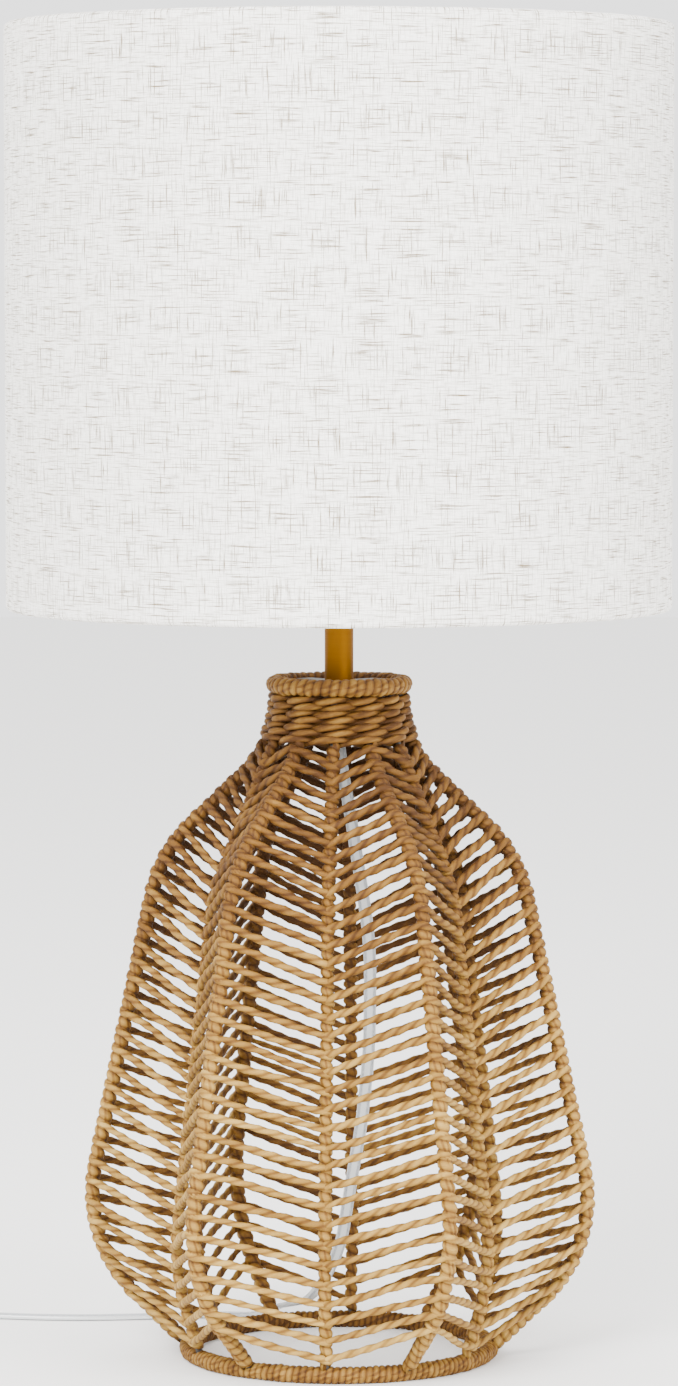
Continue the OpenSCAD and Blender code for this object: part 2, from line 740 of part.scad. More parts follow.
// One ring of the swept tube: a flat oval, its width level and square to the way the cord runs
function route_way(i) =
    unit(cord_route[min(i + 1, len(cord_route) - 1)] - cord_route[max(i - 1, 0)]);
function across(i) =
    let (t = route_way(i), flat = [t.y, -t.x, 0])
    i < 14 ? [cos(4 * i), sin(4 * i), 0] : unit(flat);
function sweep_ring(i) =
    let (t = route_way(i), a0 = across(i), a = unit(a0 - t * (a0 * t)), b = cross(t, a))
    [for (q = [0 : 45 : 315]) cord_route[i] + a * cord_w / 2 * cos(q) + b * cord_t / 2 * sin(q)];
module cord_drop() {
    n = len(cord_route);
    color("gainsboro") polyhedron(
        points = [for (i = [0 : n - 1]) each sweep_ring(i)],
        faces = concat(
            [[for (q = [0 : 7]) q]],
            [for (i = [0 : n - 2], q = [0 : 7])
                let (j = (q + 1) % 8)
                each [[8 * i + q, 8 * i + 8 + q, 8 * i + 8 + j], [8 * i + q, 8 * i + 8 + j, 8 * i + j]]],
            [[for (q = [7 : -1 : 0]) 8 * (n - 1) + q]]));
}

module cord_coil() {
    color("gainsboro") translate([coil_centre.x, coil_centre.y, 0])
        tube(coil_mean_d / 2 + coil_band / 2, coil_mean_d / 2 - coil_band / 2, coil_h);
}

// The plug lies along the front of the coil, on the middle of its turns, and points along +X
plug_back = [coil_centre.x - plug_l / 2, coil_centre.y - coil_mean_d / 2, coil_h + fit + plug_t / 2];
module plug_body() {
    color("gainsboro") translate(plug_back) rotate([90, 0, 90]) hull() {
        linear_extrude(height = 1) square([plug_w * 0.5, plug_t * 0.7], center = true);
        translate([0, 0, plug_l * 0.4]) linear_extrude(height = plug_l * 0.6)
            offset(r = 2, $fn = 24) square([plug_w - 4, plug_t - 4], center = true);
    }
}

module plug_blades() {
    color("silver") for (s = [-1, 1])
        translate(plug_back + [plug_l, s * blade_gap / 2 - blade_t / 2, -blade_w / 2])
        cube([blade_l, blade_t, blade_w]);
}

base_ring_wire();
neck_ring_wire();
outer_rib_wires();
inner_rib_wires();
neck_cross();
base_ring_wrap();
neck_ring_wrap();
neck_weave_outer();
neck_weave_inner();
for (i = [1 : rib_pairs])
    outer_rib_wrap(i);
for (i = [1 : rib_pairs])
    inner_rib_wrap(i);
for (i = [1 : 2 * rib_pairs])
    weave_bay(i);
pole();
threaded_pipe();
pipe_washer();
pipe_nut();
cord_bushing();
lead_in_pole();
harp_saddle();
socket_cap();
socket_shell();
socket_liner();
socket_core();
switch_knob();
harp();
harp_sleeve(-1);  // harp_sleeve_left
harp_sleeve(1);  // harp_sleeve_right
bulb_base();
bulb_glass();
shade_fabric();
shade_backing();
shade_fitter();
shade_bottom_ring();
finial();
cord_drop();
cord_coil();
plug_body();
plug_blades();
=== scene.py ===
"""Table lamp: a basket of twisted paper rope on a welded wire frame, a brass pole and harp, and a linen drum shade.

Every piece is worked out as a surface over two parameters, or as a section carried along a path, in metres in the
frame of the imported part: base centre at the origin, +Z up, front towards -Y. Sizes in the classes are millimetres.
"""

import logging
import math
from dataclasses import dataclass
from enum import Enum

import bpy
import numpy as np
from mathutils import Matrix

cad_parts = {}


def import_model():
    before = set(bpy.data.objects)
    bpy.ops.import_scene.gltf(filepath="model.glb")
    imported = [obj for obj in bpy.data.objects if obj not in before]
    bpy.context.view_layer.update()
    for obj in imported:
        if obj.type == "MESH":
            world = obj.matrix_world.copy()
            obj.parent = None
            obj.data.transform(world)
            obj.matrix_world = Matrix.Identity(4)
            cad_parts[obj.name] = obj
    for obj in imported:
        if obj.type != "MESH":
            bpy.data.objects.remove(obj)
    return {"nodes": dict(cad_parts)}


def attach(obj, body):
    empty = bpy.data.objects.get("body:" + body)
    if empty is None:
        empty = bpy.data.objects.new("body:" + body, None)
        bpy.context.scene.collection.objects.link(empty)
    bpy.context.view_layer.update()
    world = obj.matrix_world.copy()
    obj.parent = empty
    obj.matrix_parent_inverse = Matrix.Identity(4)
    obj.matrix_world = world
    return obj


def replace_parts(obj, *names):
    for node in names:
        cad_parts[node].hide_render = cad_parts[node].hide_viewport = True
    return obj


LOG = logging.getLogger("lamp")
MM = 0.001
TAU = 2 * math.pi
UP = np.array([0.0, 0.0, 1.0])
NECK_RING_Z = 305.4  # height of the neck ring, where the basket ends
NO_LENGTH = 1e-12  # shorter vectors are left as they are
Colour = tuple[float, float, float, float]
Place = tuple[float, float, float]


class Slot(Enum):
    """Finish slots of the part's record, passed along with each new piece."""

    WOUND = "paper_rope_wound"
    ROPE = "paper_rope"
    PVC = "clear_pvc"
    LINEN = "linen"


class Body(Enum):
    """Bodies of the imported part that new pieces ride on."""

    BASE = "base"
    SHADE = "shade"


class Slope(Enum):
    """Which way the ropes of a bay run round the basket, seen from an outer rib."""

    ONWARD = 1
    BACKWARD = -1


# ---- Numbers and meshes ----


def linear(code: str) -> Colour:
    """Turn an sRGB colour into the linear values that shaders take.

    Args:
        code: The colour as #rrggbb.

    Returns:
        Linear red, green, blue, and 1 for alpha.
    """
    parts = [int(code[i : i + 2], 16) / 255 for i in (1, 3, 5)]
    low = [v / 12.92 if v <= 0.04045 else ((v + 0.055) / 1.055) ** 2.4 for v in parts]
    return (low[0], low[1], low[2], 1.0)


def unit(v: np.ndarray) -> np.ndarray:
    """Scale vectors on the last axis to length 1."""
    return v / np.maximum(np.linalg.norm(v, axis=-1, keepdims=True), NO_LENGTH)


def mixed(a: np.ndarray, b: np.ndarray, t: np.ndarray) -> np.ndarray:
    """Go from a to b as t goes from 0 to 1."""
    return a + (b - a) * t


def smooth(t: np.ndarray) -> np.ndarray:
    """Ease t from 0 to 1: three t squared less two t cubed, held at both ends."""
    t = np.clip(t, 0, 1)
    return t * t * (3 - 2 * t)


def evenly(path: np.ndarray, count: int) -> np.ndarray:
    """Place points at equal distances along a line.

    Args:
        path: Points of the line, (n, 3).
        count: How many points to return.

    Returns:
        (count, 3) points; each coordinate is read off at equal steps of the summed length.
    """
    run = np.r_[0, np.cumsum(np.linalg.norm(np.diff(path, axis=0), axis=1))]
    at = np.linspace(0, run[-1], count)
    return np.stack([np.interp(at, run, path[:, i]) for i in range(3)], axis=1)


def through(points: np.ndarray, per_span: int) -> np.ndarray:
    """Draw a smooth line through points.

    Args:
        points: Points to pass through, (n, 3).
        per_span: Points on each span.

    Returns:
        The line's points. Each span is a cubic whose slope at a point is half the step between that point's
        neighbours.
    """
    p = np.vstack([2 * points[0] - points[1], points, 2 * points[-1] - points[-2]])
    t = np.linspace(0, 1, per_span, endpoint=False)[None, :, None]
    a, b, c, d = (p[i : len(p) - 3 + i, None, :] for i in range(4))
    line = 0.5 * (2 * b + (c - a) * t + (2 * a - 5 * b + 4 * c - d) * t**2 + (3 * b - a - 3 * c + d) * t**3)
    return np.vstack([line.reshape(-1, 3), points[-1:]])


@dataclass
class Surface:
    """A mesh in the making.

    Attributes:
        points: (n, 3) in metres.
        faces: Arrays of point numbers, each of polygons with the same number of sides.
        corners: For each array of faces, the UV value of each corner.
        tone: Darkness of the rope at each point, 0 to 1, or none.
    """

    points: np.ndarray
    faces: list[np.ndarray]
    corners: list[np.ndarray]
    tone: np.ndarray | None = None

    @staticmethod
    def tube(rings: np.ndarray, u: np.ndarray, v: np.ndarray, looped: bool = False) -> "Surface":
        """Skin one or more runs of rings, and close both ends of each run with a face unless it is looped.

        Args:
            rings: (..., n, m, 3) points, m round each ring, n rings to a run.
            u: Distance along a run at each ring, n values, or n + 1 where it is looped.
            v: Distance round a ring, m + 1 values.
            looped: The last ring joins the first.

        Returns:
            The surface, with (u, v) as its UV values.
        """
        n, m = rings.shape[-3], rings.shape[-2]
        rings = rings.reshape(-1, n, m, 3)
        i, j = np.meshgrid(np.arange(n if looped else n - 1), np.arange(m), indexing="ij")
        steps = [(i, j), (i, j + 1), (i + 1, j + 1), (i + 1, j)]
        quad = np.stack([(a % n) * m + b % m for a, b in steps], axis=-1).reshape(-1, 4)
        uv = np.stack([np.stack([u[a], v[b]], axis=-1) for a, b in steps], axis=2).reshape(-1, 4, 2)
        starts = np.arange(len(rings))[:, None, None] * n * m
        faces, corners = [(quad[None] + starts).reshape(-1, 4)], [np.tile(uv, (len(rings), 1, 1))]
        if not looped:
            ends = np.stack([np.arange(m)[::-1], (n - 1) * m + np.arange(m)])
            faces.append((ends[None] + starts).reshape(-1, m))
            corners.append(np.zeros((2 * len(rings), m, 2)))
        return Surface(rings.reshape(-1, 3), faces, corners)

    @staticmethod
    def helix(rows: np.ndarray, per_turn: int, looped: bool, u: np.ndarray, v: np.ndarray) -> "Surface":
        """Skin a coil whose rows wind on, so that row i at the end of a round meets row i + per_turn at its start.

        Args:
            rows: (n, m, 3) points.
            per_turn: Rows that one turn of the coil goes on by.
            looped: The last row joins the first, as on a ring.
            u: Distance round, m + 1 values.
            v: Distance across the turns, n + 1 values.

        Returns:
            The closed surface.
        """
        n, m = rows.shape[:2]
        i, j = np.meshgrid(np.arange(n if looped else n - 1), np.arange(m), indexing="ij")
        if not looped:
            keep = (j < m - 1) | (i < n - 1 - per_turn)
            i, j = i[keep], j[keep]
        steps = [(i, j), (i + 1, j), (i + 1, j + 1), (i, j + 1)]
        index = [((a + per_turn * (b // m)) % n) * m + b % m for a, b in steps]
        faces = [np.stack(index, axis=-1).reshape(-1, 4)]
        corners = [np.stack([np.stack([u[b], v[a]], axis=-1) for a, b in steps], axis=-2).reshape(-1, 4, 2)]
        if not looped:
            first = np.r_[np.arange(m), np.arange(per_turn, 0, -1) * m]
            last = np.r_[(n - 1) * m + np.arange(m)[::-1], (n - 1 - per_turn + np.arange(per_turn)) * m + m - 1]
            faces.append(np.stack([first, last]))
            corners.append(np.zeros((2, m + per_turn, 2)))
        return Surface(rows.reshape(-1, 3), faces, corners)

    def volume(self) -> float:
        """Sum, over the faces, the volume of the wedge from the origin; negative if the faces point inwards."""
        total = 0.0
        for f in self.faces:
            p = self.points[f]
            for k in range(1, f.shape[1] - 1):
                total += float((p[:, 0] * np.cross(p[:, k], p[:, k + 1])).sum()) / 6
        return total

    def build(self, name: str, body: Body, slot: Slot, finish: bpy.types.Material) -> bpy.types.Object:
        """Make the mesh object, faces outwards, shaded smooth, dressed and riding on its body.

        Args:
            name: The piece's name.
            body: The body that it moves with.
            slot: The finish slot of the part's record for the piece; not used.
            finish: The material.

        Returns:
            The object, at the origin.
        """
        if self.volume() < 0:
            self.faces = [f[:, ::-1] for f in self.faces]
            self.corners = [c[:, ::-1] for c in self.corners]
        mesh = bpy.data.meshes.new(name)
        loops = np.concatenate([f.ravel() for f in self.faces]).astype(np.int32)
        sizes = np.concatenate([np.full(len(f), f.shape[1]) for f in self.faces])
        mesh.vertices.add(len(self.points))
        mesh.vertices.foreach_set("co", self.points.astype(np.float32).ravel())
        mesh.loops.add(len(loops))
        mesh.loops.foreach_set("vertex_index", loops)
        mesh.polygons.add(len(sizes))
        mesh.polygons.foreach_set("loop_start", np.r_[0, np.cumsum(sizes)[:-1]].astype(np.int32))
        mesh.polygons.foreach_set("use_smooth", np.ones(len(sizes), bool))
        mesh.update(calc_edges=True)
        layer = mesh.uv_layers.new(name="lay")
        layer.data.foreach_set("uv", np.concatenate([c.ravel() for c in self.corners]).astype(np.float32))
        if self.tone is not None:
            tone = mesh.attributes.new("tone", "FLOAT", "POINT")
            tone.data.foreach_set("value", np.clip(self.tone, 0, 1).astype(np.float32))
        mesh.validate()
        mesh.materials.append(finish)
        piece = bpy.data.objects.new(name, mesh)
        bpy.context.collection.objects.link(piece)
        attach(piece, body.value)
        LOG.info("%s: %d faces on %s", name, len(sizes), body.value)
        return piece


def carried(path: np.ndarray, hold: np.ndarray, section: np.ndarray) -> np.ndarray:
    """Carry a section along a path.

    Args:
        path: (..., n, 3) points.
        hold: (..., n, 3) or (3,) direction that the section's height leans to.
        section: (m, 2), or (..., n, m, 2) where it changes on the way.

    Returns:
        (..., n, m, 3): each point is the path's, plus the section's width along the way's cross product with the
        hold direction, plus its height square to both.
    """
    way = unit(np.gradient(path, axis=-2))
    side = unit(np.cross(way, hold))
    lift = np.cross(side, way)
    return (
        path[..., None, :]
        + section[..., 0:1] * side[..., None, :]
        + section[..., 1:2] * lift[..., None, :]
    )


@dataclass(frozen=True)
class TwoPly:
    """Rope of two paper plies laid together.

    Attributes:
        size: Diameter over the plies.
        lay: Length in which a ply goes once round.
        sides: Points round the rope.
        groove: Depth of the groove between plies as a share of the radius.
    """

    size: float = 3.7
    lay: float = 17.0
    sides: int = 8
    groove: float = 0.24

    def sections(self, run: np.ndarray) -> np.ndarray:
        """Give the rope's section at each distance along it.

        Args:
            run: (..., n) distances in metres.

        Returns:
            (..., n, sides, 2). The radius is largest on the two plies and falls by the groove's depth between them,
            as the cosine of twice the angle; the whole section turns once in each lay.
        """
        a = TAU * np.arange(self.sides) / self.sides
        radius = self.size * MM / 2 * (1 - self.groove / 2 + self.groove / 2 * np.cos(2 * a))
        turn = a + TAU * run[..., None] / (self.lay * MM)
        return np.stack([radius * np.cos(turn), radius * np.sin(turn)], axis=-1)

    def furrow(self) -> np.ndarray:
        """Give how deep in a groove each side point is, 0 on a ply and 1 in the groove."""
        return 0.5 - 0.5 * np.cos(2 * TAU * np.arange(self.sides) / self.sides)

    def skin(
        self, paths: np.ndarray, hold: np.ndarray, tone_and_shade: np.ndarray, swell: np.ndarray, looped: bool = False
    ) -> Surface:
        """Skin several ropes at once.

        Args:
            paths: (k, n, 3) centre lines.
            hold: (k, n, 3) or (3,) direction square to each rope on the way.
            tone_and_shade: (k, n) darkness of each rope at each ring, from 0 to 1.
            swell: (k, n) or (k, 1) thickness over the rope's own size.
            looped: Each rope runs round into itself.

        Returns:
            The ropes as one surface, with painted shade darkening their grooves.
        """
        if looped:  # one ring more at each end, so that the way at the joint is known
            paths = np.concatenate([paths[:, -1:], paths, paths[:, :2]], axis=1)
            swell = np.broadcast_to(swell, (len(paths), paths.shape[1] - 3))
            swell = np.concatenate([swell[:, -1:], swell, swell[:, :2]], axis=1)
        step = np.linalg.norm(np.diff(paths, axis=1), axis=-1)
        run = np.concatenate([np.zeros((len(paths), 1)), np.cumsum(step, axis=1)], axis=1)
        if looped:  # a whole number of half lays, so that the plies meet themselves
            run, half = run - run[:, 1:2], self.lay * MM / 2
            total = run[:, -2:-1]
            run = run * (np.round(total / half) * half / total)
        rings = carried(paths, hold, self.sections(run) * np.asarray(swell)[..., None, None])
        if looped:
            rings, run = rings[:, 1:-2], run[:, 1:-1]
        around = np.linspace(0, math.pi * self.size * MM, self.sides + 1)
        surface = Surface.tube(rings, run.mean(0), around, looped=looped)
        # Painted shade: the grooves between the plies are darkened in the tone
        tone = np.broadcast_to(tone_and_shade[..., None] + 0.42 * self.furrow() ** 3, rings.shape[:-1])
        surface.tone = np.array(tone).reshape(-1)
        return surface


# ---- Finishes ----


def add_node(tree: bpy.types.NodeTree, kind: str, inputs: dict | None = None, **settings: object) -> bpy.types.Node:
    """Add a shader node with its settings and links.

    Args:
        tree: The material's node tree.
        kind: The node's type name.
        inputs: For each input, by name or number, a value to set or an output socket to link from.
        settings: Properties of the node.

    Returns:
        The node.
    """
    node = tree.nodes.new(kind)
    for name, value in settings.items():
        setattr(node, name, value)
    for key, value in (inputs or {}).items():
        if isinstance(value, bpy.types.NodeSocket):
            tree.links.new(value, node.inputs[key])
        else:
            node.inputs[key].default_value = value
    return node


def object_place(tree: bpy.types.NodeTree) -> bpy.types.NodeSocket:
    """Give the place in the object's own coordinates, metres."""
    return add_node(tree, "ShaderNodeTexCoord").outputs["Object"]


def lay_place(tree: bpy.types.NodeTree) -> bpy.types.NodeSocket:
    """Give the place on the piece's own UV map, metres along and across it."""
    return add_node(tree, "ShaderNodeUVMap", uv_map="lay").outputs["UV"]


def stretched(
    tree: bpy.types.NodeTree,
    where: bpy.types.NodeSocket,
    scale: tuple[float, float, float] = (1.0, 1.0, 1.0),
    turn: float = 0.0,
) -> bpy.types.NodeSocket:
    """Scale a place along each axis, after turning it about Z by some radians."""
    inputs = {"Vector": where, "Scale": scale, "Rotation": (0.0, 0.0, turn)}
    return add_node(tree, "ShaderNodeMapping", inputs).outputs["Vector"]


def noise(
    tree: bpy.types.NodeTree,
    where: bpy.types.NodeSocket,
    scale: float = 1.0,
    detail: float = 2.0,
    roughness: float = 0.5,
) -> bpy.types.NodeSocket:
    """Give cloudy noise, 0 to 1, with that many cells to the metre."""
    inputs = {"Vector": where, "Scale": scale, "Detail": detail, "Roughness": roughness}
    return add_node(tree, "ShaderNodeTexNoise", inputs).outputs["Fac"]


def bands(
    tree: bpy.types.NodeTree,
    where: bpy.types.NodeSocket,
    period: float,
    way: str = "X",
    distortion: float = 0.0,
    detail_scale: float = 1.0,
) -> bpy.types.NodeSocket:
    """Give bands, 0 to 1, that come once in each period of metres along an axis."""
    inputs = {"Vector": where, "Scale": TAU / 20 / period, "Distortion": distortion, "Detail Scale": detail_scale}
    return add_node(tree, "ShaderNodeTexWave", inputs, bands_direction=way).outputs["Fac"]


def remap(
    tree: bpy.types.NodeTree,
    value: bpy.types.NodeSocket,
    low: float,
    high: float,
    to_low: float = 0.0,
    to_high: float = 1.0,
) -> bpy.types.NodeSocket:
    """Take a value from the span low to high over to another span, held at its ends."""
    inputs = {"Value": value, "From Min": low, "From Max": high, "To Min": to_low, "To Max": to_high}
    return add_node(tree, "ShaderNodeMapRange", inputs).outputs["Result"]


def maths(
    tree: bpy.types.NodeTree, operation: str, *values: float | bpy.types.NodeSocket, clamp: bool = False
) -> bpy.types.NodeSocket:
    """Work out one operation on up to three values."""
    node = add_node(tree, "ShaderNodeMath", dict(enumerate(values)), operation=operation, use_clamp=clamp)
    return node.outputs[0]


def mix(
    tree: bpy.types.NodeTree,
    share: bpy.types.NodeSocket,
    first: Colour,
    second: Colour | bpy.types.NodeSocket,
) -> bpy.types.NodeSocket:
    """Mix two colours; share 1 gives the second."""
    return add_node(tree, "ShaderNodeMix", {"Factor": share, 6: first, 7: second}, data_type="RGBA").outputs[2]


def ramp(
    tree: bpy.types.NodeTree, value: bpy.types.NodeSocket, stops: tuple[tuple[float, str], ...]
) -> bpy.types.NodeSocket:
    """Turn a value into the colours of some stops, each a position and an sRGB code.

    Args:
        tree: The material's tree.
        value: The value, 0 to 1.
        stops: Two or more stops, in order.

    Returns:
        The colour.
    """
    node = add_node(tree, "ShaderNodeValToRGB", {"Fac": value})
    elements = node.color_ramp.elements
    for k, (at, code) in enumerate(stops):
        element = elements[k] if k < 2 else elements.new(at)
        element.position, element.color = at, linear(code)
    return node.outputs["Color"]


def emboss(
    tree: bpy.types.NodeTree,
    shader: bpy.types.Node,
    height: bpy.types.NodeSocket,
    strength: float,
    distance: float,
) -> None:
    """Tilt the shader's normal as if the surface rose by the height times the distance in metres."""
    bump = add_node(tree, "ShaderNodeBump", {"Height": height, "Strength": strength, "Distance": distance})
    tree.links.new(bump.outputs["Normal"], shader.inputs["Normal"])


@dataclass(frozen=True)
class Finish:
    """A finish with one main shader.

    Attributes:
        name: The real material's name.
        colour: Its main colour.
        roughness: Its roughness.
        metallic: 1 for bare metal.
    """

    name: str
    colour: str = "#808080"
    roughness: float = 0.5
    metallic: float = 0.0

    def material(self) -> bpy.types.Material:
        """Make the material, with its pattern.

        Returns:
            The material.
        """
        material = bpy.data.materials.new(self.name)
        material.use_nodes = True
        tree = material.node_tree
        shader = tree.nodes["Principled BSDF"]
        shader.inputs["Base Color"].default_value = linear(self.colour)
        shader.inputs["Roughness"].default_value = self.roughness
        shader.inputs["Metallic"].default_value = self.metallic
        self.pattern(tree, shader)
        return material

    def pattern(self, tree: bpy.types.NodeTree, shader: bpy.types.Node) -> None:
        """Add the pattern to the shader; a plain finish has a slight unevenness of gloss and surface.

        Args:
            tree: The material's tree.
            shader: Its shader.
        """
        cloud = noise(tree, object_place(tree), 140.0, 3.0)
        gloss = remap(tree, cloud, 0.0, 1.0, self.roughness - 0.06, self.roughness + 0.08)
        tree.links.new(gloss, shader.inputs["Roughness"])
        emboss(tree, shader, cloud, 0.15, 0.0002)


@dataclass(frozen=True)
class PaperRope(Finish):
    """Kraft paper twisted into rope and varnished: straw where it is full, painted brown as shade in the grooves,
    finely creased.

    Attributes:
        pale, straw, brown, deep: Colours from the plies' crowns to the painted shade at the bottom of the grooves.
        marks: Strength of slanting ply marks in painted shade, for windings, whose surface doesn't carry the plies
            itself.
    """

    pale: str = "#AE8F4E"
    straw: str = "#8B6A2E"
    brown: str = "#634215"
    deep: str = "#3D2307"
    marks: float = 0.0

    def pattern(self, tree: bpy.types.NodeTree, shader: bpy.types.Node) -> None:
        """Mix the colours by the tone, with its painted shade, and by blotches, and crease the paper along its lay.

        Args:
            tree: The material's tree.
            shader: Its shader.
        """
        lay = lay_place(tree)
        # The tone attribute holds the rope's own darkness plus painted shade worked out on the mesh
        tone = add_node(tree, "ShaderNodeAttribute", attribute_name="tone").outputs["Fac"]
        # Blotches of 8 to 25 mm, as the paper's dye takes
        blotch = noise(tree, object_place(tree), 75.0, 4.0, 0.65)
        # Creases 0.3 mm wide and 4 mm long, along the strand
        crease = noise(tree, stretched(tree, lay, (260.0, 3300.0, 1.0)))
        # Ply marks every 5.2 mm along the wound strand, painted darker as shade in their grooves
        ply = bands(tree, stretched(tree, lay, turn=0.5), 0.0052, distortion=1.6)
        depth = maths(tree, "MULTIPLY", remap(tree, ply, 0.0, 0.3, 1.0, 0.0), self.marks)
        base = maths(tree, "MULTIPLY_ADD", blotch, 0.9, tone)
        fine = maths(tree, "MULTIPLY_ADD", crease, 0.32, base)
        full = maths(tree, "MULTIPLY_ADD", depth, 0.35, fine)
        stops = ((0.0, self.pale), (0.28, self.straw), (0.62, self.brown), (1.0, self.deep))
        tree.links.new(ramp(tree, remap(tree, full, 0.42, 1.5), stops), shader.inputs["Base Color"])
        emboss(tree, shader, maths(tree, "MULTIPLY_ADD", depth, -1.2, crease), 0.55, 0.0003)
        shader.inputs["Specular IOR Level"].default_value = 0.15


@dataclass(frozen=True)
class Linen(Finish):
    """Plain-woven linen and cotton, off-white, with grey-beige slubs: threads thicken at random along both ways.

    Attributes:
        slub: Colour of the unbleached slubs.
        pitch: Thread spacing in millimetres, drawn coarser than the real 0.5 mm so that it shows.
    """

    slub: str = "#6F6046"
    pitch: float = 0.8

    def streaks(
        self,
        tree: bpy.types.NodeTree,
        cloth: bpy.types.NodeSocket,
        cells: tuple[float, float, float],
        low: float,
        high: float,
    ) -> bpy.types.NodeSocket:
        """Pick out the peaks of noise that is drawn out along the threads.

        Args:
            tree: The material's tree.
            cloth: The place on the cloth.
            cells: Noise cells to the metre along each direction.
            low: Noise value at which a slub begins.
            high: Noise value at which it is full.

        Returns:
            0 between slubs to 1 on them.
        """
        return remap(tree, noise(tree, stretched(tree, cloth, cells), detail=2.5, roughness=0.6), low, high)

    def pattern(self, tree: bpy.types.NodeTree, shader: bpy.types.Node) -> None:
        """Weave the threads in bump, and lay slubs along both directions in colour.

        Args:
            tree: The material's tree.
            shader: Its shader.
        """
        cloth = lay_place(tree)
        threads = [bands(tree, cloth, self.pitch * MM, way, 2.2, 0.12) for way in ("X", "Y")]
        weave = maths(tree, "MAXIMUM", *threads)

        rows = self.streaks(tree, cloth, (55.0, 1500.0, 1.0), 0.53, 0.66)
        columns = self.streaks(tree, cloth, (1500.0, 60.0, 1.0), 0.54, 0.68)
        fine_rows = self.streaks(tree, cloth, (160.0, 2400.0, 1.0), 0.46, 0.74)
        fine_columns = self.streaks(tree, cloth, (2400.0, 170.0, 1.0), 0.46, 0.78)
        thick = maths(tree, "MAXIMUM", rows, columns)
        thin = maths(tree, "MAXIMUM", fine_rows, fine_columns)
        both = maths(tree, "MULTIPLY_ADD", thin, 0.55, thick)
        share = maths(tree, "MULTIPLY", both, 0.85, clamp=True)
        tree.links.new(mix(tree, share, linear(self.colour), linear(self.slub)), shader.inputs["Base Color"])
        emboss(tree, shader, maths(tree, "MULTIPLY_ADD", thick, 1.2, weave), 0.35, 0.00025)
        shader.inputs["Sheen Weight"].default_value = 0.15
        shader.inputs["Specular IOR Level"].default_value = 0.2


@dataclass(frozen=True)
class SpunMetal(Finish):
    """Metal turned or drawn, then brushed and lacquered: fine marks round its axis, and a satin gleam.

    Attributes:
        grain: Marks to the metre along Z.
    """

    grain: float = 1400.0

    def pattern(self, tree: bpy.types.NodeTree, shader: bpy.types.Node) -> None:
        """Vary the roughness in fine rings and soft patches.

        Args:
            tree: The material's tree.
            shader: Its shader.
        """
        brushed = noise(tree, stretched(tree, object_place(tree), (30.0, 30.0, self.grain)))
        gloss = remap(tree, brushed, 0.0, 1.0, self.roughness - 0.08, self.roughness + 0.1)
        tree.links.new(gloss, shader.inputs["Roughness"])
        emboss(tree, shader, brushed, 0.12, 0.0001)


@dataclass(frozen=True)
class ThreadedSteel(Finish):
    """Zinc-plated pipe and caps with a rolled thread: rings a millimetre apart along Z."""

    def pattern(self, tree: bpy.types.NodeTree, shader: bpy.types.Node) -> None:
        """Roll the thread in bump."""
        emboss(tree, shader, bands(tree, object_place(tree), 0.001, "Z"), 0.5, 0.0004)


@dataclass(frozen=True)
class ClearPvc(Finish):
    """Clear PVC drawn over two tinned copper cores: grey metal shows through under a glossy, slightly milky skin.

    Attributes:
        core, glint: Colours of the tinned strands under the skin, the second a painted glint.
        width: Distance round the cord, in millimetres.
    """

    core: str = "#8E9296"
    glint: str = "#C9CCCE"
    width: float = 14.3

    def pattern(self, tree: bpy.types.NodeTree, shader: bpy.types.Node) -> None:
        """Stripe the cord lengthwise: milky web and edges, and a grey core under each half of both faces.

        Args:
            tree: The material's tree.
            shader: Its shader.
        """
        lay = lay_place(tree)
        split = add_node(tree, "ShaderNodeSeparateXYZ", {"Vector": lay}).outputs["Y"]
        stripe = maths(tree, "MULTIPLY", split, 4 * TAU / (self.width * MM))
        share = remap(tree, maths(tree, "COSINE", stripe), 0.1, -0.7)
        # Strands show as painted glints about 2 mm long
        shine = noise(tree, stretched(tree, lay, (500.0, 4000.0, 1.0)))
        strands = ramp(tree, shine, ((0.35, self.core), (0.7, self.glint)))
        tree.links.new(mix(tree, share, linear(self.colour), strands), shader.inputs["Base Color"])
        shader.inputs["IOR"].default_value = 1.53
        shader.inputs["Coat Weight"].default_value = 0.5
        shader.inputs["Transmission Weight"].default_value = 0.25


@dataclass(frozen=True)
class ClearMoulding(Finish):
    """Solid clear PVC, cast in a mould: slightly grey, glossy, and half clear in its depth."""

    def pattern(self, tree: bpy.types.NodeTree, shader: bpy.types.Node) -> None:
        """Keep the gloss slightly uneven and let light in.

        Args:
            tree: The material's tree.
            shader: Its shader.
        """
        super().pattern(tree, shader)
        shader.inputs["IOR"].default_value = 1.53
        shader.inputs["Coat Weight"].default_value = 0.4
        shader.inputs["Transmission Weight"].default_value = 0.35


@dataclass(frozen=True)
class FrostedGlass(Finish):
    """Blown glass with a white powder coat inside: milky and softly glossy."""

    def pattern(self, tree: bpy.types.NodeTree, shader: bpy.types.Node) -> None:
        """Keep the coat even, with the least unevenness in its gloss.

        Args:
            tree: The material's tree.
            shader: Its shader.
        """
        super().pattern(tree, shader)
        shader.inputs["IOR"].default_value = 1.5
        shader.inputs["Subsurface Weight"].default_value = 0.2
        shader.inputs["Subsurface Radius"].default_value = (0.004, 0.004, 0.004)
        shader.inputs["Coat Weight"].default_value = 0.3


# ---- The wire and rope basket ----


def painted_drum_shadow(height: np.ndarray) -> np.ndarray:
    """Tell how much darker the rope is painted at a height in metres: painted shadow of the drum shade, deepest near
    the neck.
    """
    share = height / (NECK_RING_Z * MM)
    return 0.55 * smooth((share - 0.33) / 0.62)


